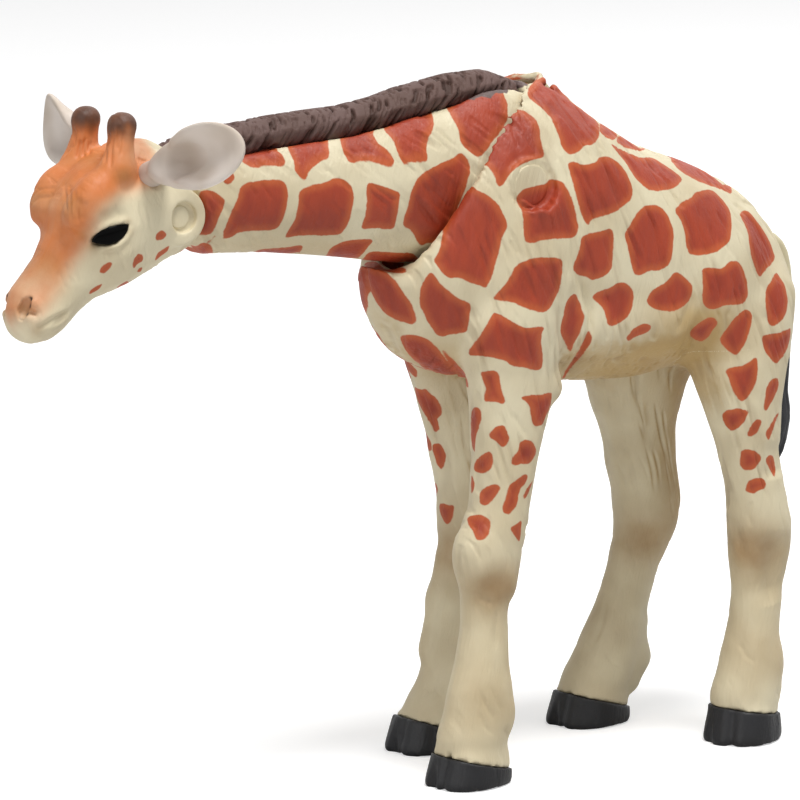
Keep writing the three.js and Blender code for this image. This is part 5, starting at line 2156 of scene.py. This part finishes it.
FACE_FOLDS = tuple(Fold(*row) for row in (
    ((34, 329, 42, 326, 52, 320, 62, 315, 72, 310), 0.32, 0.3), ((36, 326, 45, 321, 56, 315, 68, 308), -0.14, 0.5),
    ((40, 333, 52, 329, 62, 323, 70, 315), -0.14, 0.5), ((52, 325, 60, 321, 66, 316), 0.12, 0.2),
    ((89, 240, 94, 233, 100, 227.5, 110, 223.5, 120, 221.5, 131, 220.5), -0.26, 0.34),
    ((97, 221, 106, 215, 118, 213, 128, 214), 0.1, 0.5),
    ((91, 245, 101, 248, 111, 248.5, 119, 246, 126, 240, 130.5, 232, 132, 225), -0.2, 0.3),
    ((99, 254, 110, 254, 122, 250, 131, 240), 0.1, 0.35), ((64, 180, 65, 192, 66, 206, 68, 222), 0.09, 0.22),
    ((69, 184, 70, 196, 70, 212, 72, 226), 0.08, 0.2), ((75, 188, 75, 206, 77, 222), 0.08, 0.2),
    ((80, 196, 77, 212, 78, 226), 0.2, 0.34), ((86, 200, 83, 212, 82, 222), 0.12, 0.26),
    ((110, 132, 106, 148, 104, 166), 0.2, 0.24), ((114, 134, 111, 150, 110, 170), 0.18, 0.22),
    ((120, 124, 118, 138, 117, 152), 0.16, 0.24), ((125, 130, 123, 144, 121, 158), 0.14, 0.24),
    ((81, 139, 79, 150, 77, 160), 0.16, 0.22), ((86, 136, 84, 148, 83, 158), 0.16, 0.2),
    ((91, 140, 89, 148, 89, 156), 0.14, 0.2), ((137, 158, 143, 161, 148, 160), 0.12, 0.16),
    ((33, 294, 34, 304, 31, 316, 26, 322), -0.18, 0.4), ((64, 262, 68, 274, 73, 286), 0.09, 0.24),
    ((71, 258, 76, 272, 80, 286), 0.09, 0.22), ((58, 270, 63, 282, 68, 292), 0.08, 0.22),
    ((79, 262, 82, 274, 84, 284), 0.07, 0.22), ((131, 196, 134, 210, 139, 226), 0.08, 0.24),
    ((139, 200, 142, 214, 146, 230), 0.08, 0.24), ((147, 204, 150, 218, 152, 232), 0.07, 0.24),
    ((118, 252, 122, 262, 126, 270), 0.07, 0.22),
))
ORANGE_FACE = (
    158, 158, 160, 172, 154, 184, 138, 190, 122, 195, 110, 204, 100, 216, 95, 230, 90, 244, 82, 256, 74, 266, 67, 278,
    61, 290, 54, 302, 44, 314, 34, 324, 22, 330, -40, 340, -40, 40, 150, 40
)


@dataclass
class Head:
    """The head with its horns, brows and muzzle."""

    voxel: float = 0.15
    blur: float = 0.22
    regrow: float = 0.08
    # brown dabs on the face: brown paint, and painted shade in the folds round the brows, eyes and mouth and on the
    # wall of the cheek recess
    brown_paint_and_shade_dabs: tuple[tuple[float, float, float, float], ...] = (
        (72, 205, 17, 0.45), (66, 180, 12, 0.3), (92, 160, 14, 0.35), (124, 176, 12, 0.5), (104, 214, 9, 0.3),
        (128, 222, 6, 0.35), (84, 236, 9, 0.35), (24, 310, 10, 0.5), (60, 315, 10, 0.28), (36, 332, 10, 0.4),
        (184, 219, 4, 0.9), (116, 200, 14, 0.2), (52, 262, 12, 0.2), (94, 248, 9, 0.45), (108, 250, 8, 0.3),
        (130, 232, 6, 0.3), (140, 205, 16, 0.12), (120, 262, 20, 0.1), (48, 270, 22, 0.5), (66, 292, 18, 0.25),
    )
    forms: tuple[Solid, ...] = (
        Blob((39.2, 3.3, 60.2), (3.3, 1.9, 2.3), 50.0),
        Rod((36.9, 3.4, 63.4), (36.3, 3.3, 65.6), 1.55, 1.1),
        Blob((36.0, 3.25, 67.1), (1.3, 1.3, 0.6)),
        Blob((42.5, 0.8, 49.3), (2.1, 1.6, 1.05), 50.0),
        Blob((33.2, 2.2, 58.4), (5.6, 2.55, 3.3)),
    )
    nostril: Outline = (29.5, 299, 26, 304, 23, 311, 20.5, 317)
    nostril_sizes: tuple[float, ...] = (0.32, 0.55, 0.62, 0.42)
    recesses: tuple[Solid, ...] = (Drum((30.35, 6.4, 58.1), 1.5, 2.1),)
    hair: HairLines = HairLines((-0.35, 0.0, -0.93), 0.45, 3.4, 0.045, 61, 0.7)
    horn: tuple[Point, Point] = ((36.9, 3.4, 63.0), (36.1, 3.25, 67.6))
    pales: tuple[tuple[float, float, float, float], ...] = (
        (30, 290, 34, 0.35), (24, 325, 20, 0.6), (140, 150, 18, 0.3), (55, 205, 16, 0.25),
    )

    def build(self, finishes: Finishes) -> None:
        """Makes the head with its ears and eyes.

        Args:
            finishes: the materials.
        """
        block = Block.of_nodes(["head"], self.voxel, 2.2)
        block.smooth(self.blur)
        block.grow(self.regrow)
        block.add(both_sides(self.forms), 1.2)
        block.carve(both_sides(self.recesses), 0.15)
        line = [tuple(place) for place in block.surface().places_seen(self.nostril)]
        block.carve(both_sides(chain(line, self.nostril_sizes)), 0.2)
        block.carve_opening(Eye.opening, Eye.ball, 0.04)
        fine = block.surface().refined()
        self.narrow_horns(fine)
        press(fine, both_hands(FACE_FOLDS))
        fine.places -= fine.normals() * self.hair.depths(fine.places)[:, None]
        piece = fine.as_object("head_painted")
        coat = Coat((CHEEK_PATCHES,))
        coat.lay_out(piece)
        coat.paint(piece)
        self.shade(piece, chain(line, [size - 0.06 for size in self.nostril_sizes]))
        hand_over(piece, Body.HEAD, ["head"], finishes.face)
        for side in ("left", "right"):
            Ear(side).build(finishes)
            Eye(side).build(finishes)

    def narrow_horns(self, surface: Surface) -> None:
        """Draws the skin of both horns in towards their axes.

        Args:
            surface: the head's skin, which is changed.
        """
        places = surface.places
        start, end = np.array(self.horn)
        share = (places[:, 2] - start[2]) / (end[2] - start[2])
        axis = start + share[:, None] * (end - start)
        axis[:, 1] *= np.sign(places[:, 1])
        axis[:, 2] = places[:, 2]
        waist = smoothstep(62.0, 65.0, places[:, 2]) * (1 - 0.15 * smoothstep(65.4, 67.0, places[:, 2]))
        near = smoothstep(0.4, 1.2, np.abs(places[:, 1]))
        surface.places = places + (axis - places) * (0.2 * waist * near)[:, None]

    def shade(self, piece: bpy.types.Object, painted: Sequence[Solid]) -> None:
        """Lays the sprayed colours on the face.

        Args:
            piece: the head.
            painted: the forms that are painted dark in the near nostril.
        """
        places = vertex_places(piece)
        orange = smoothstep(-17.0, 19.0, depth_in_outline(CAMERA.seen_near(places), corners_of(ORANGE_FACE)))
        behind = smoothstep(30.5, 33.0, places[:, 0])
        store_zone(piece, Zone.ORANGE, orange * behind * (1 - dabs(places, self.pales)) * 0.9)
        # brown paint and painted shade on the face
        store_zone(piece, Zone.BROWN, dabs(places, self.brown_paint_and_shade_dabs))
        streaks = smooth_noise(places * np.array([1.6, 1.6, 0.4]), 81)
        tips = smoothstep(65.0, 67.6, places[:, 2] + streaks * 0.7)
        # the nostrils painted near black: dark paint, and painted shade inside the holes
        nostril_paint_and_shade = np.minimum(sprayed(places, both_sides(painted), 0.24) * 1.7, 1.0)
        store_zone(piece, Zone.DARK, np.maximum(tips * 0.8, nostril_paint_and_shade))


@dataclass(frozen=True)
class Studio:
    """A pale floor, and soft lamps round it."""

    def build(self) -> None:
        """Makes the floor, the world and the lamps."""
        self.floor()
        self.world()
        for name, place, power, size in (
            ("key", (-0.02, 0.26, 0.85), 6.5, 0.3),
            ("fill", (0.75, 0.3, 0.4), 1.9, 0.6),
            ("back", (-0.5, -0.3, 0.6), 1.6, 0.7),
        ):
            data = bpy.data.lights.new(name, "AREA")
            data.energy = power
            data.size = size
            lamp = bpy.data.objects.new(name, data)
            lamp.location = place
            lamp.rotation_mode = "QUATERNION"
            lamp.rotation_quaternion = (Vector((0.0, 0.0, 0.03)) - Vector(place)).to_track_quat("-Z", "Y")
            bpy.context.scene.collection.objects.link(lamp)

    def floor(self) -> None:
        """A wide floor that the camera sees as white, and that keeps the figure's shadow."""
        side = 4000.0
        corners = np.array([(-side, -side, 0.0), (side, -side, 0.0), (side, side, 0.0), (-side, side, 0.0)])
        floor = Surface(corners, np.array([[0, 1, 2, 3]])).as_object("floor")
        material, graph, shader = new_material("floor_paper")
        shader.inputs["Base Color"].default_value = colour("dedede")
        shader.inputs["Roughness"].default_value = 0.9
        shader.inputs["Specular IOR Level"].default_value = 0.1
        path = graph.node("LightPath")
        glow = graph.math("MULTIPLY", path.outputs["Is Camera Ray"], 0.46)
        shader.inputs["Emission Color"].default_value = colour("ffffff")
        graph.feed(shader.inputs["Emission Strength"], glow)
        floor.data.materials.append(material)

    def world(self) -> None:
        """A plain pale world, white to the camera."""
        world = bpy.data.worlds.new("studio")
        bpy.context.scene.world = world
        world.use_nodes = True
        graph = Graph(world.node_tree)
        background = world.node_tree.nodes["Background"]
        background.inputs["Color"].default_value = colour("ffffff")
        path = graph.node("LightPath")
        seen = path.outputs["Is Camera Ray"]
        for mirrored in ("Is Glossy Ray", "Is Transmission Ray"):
            seen = graph.math("MAXIMUM", seen, path.outputs[mirrored])
        graph.feed(background.inputs["Strength"], graph.ramp(seen, 0.0, 1.0, 0.25, 1.0))


def main() -> None:
    """Builds the camera, the studio and every piece of the figure."""
    logging.basicConfig(level=logging.INFO, format="%(message)s")
    bpy.context.scene.view_settings.view_transform = "Standard"
    CAMERA.build()
    Studio().build()
    finishes = Finishes()
    trunk = Trunk()
    trunk.build(finishes)
    Tail().build(finishes)
    Neck().build(finishes)
    Head().build(finishes)
    Pins().build(finishes, trunk.coat)


if __name__ == "__main__":
    main()
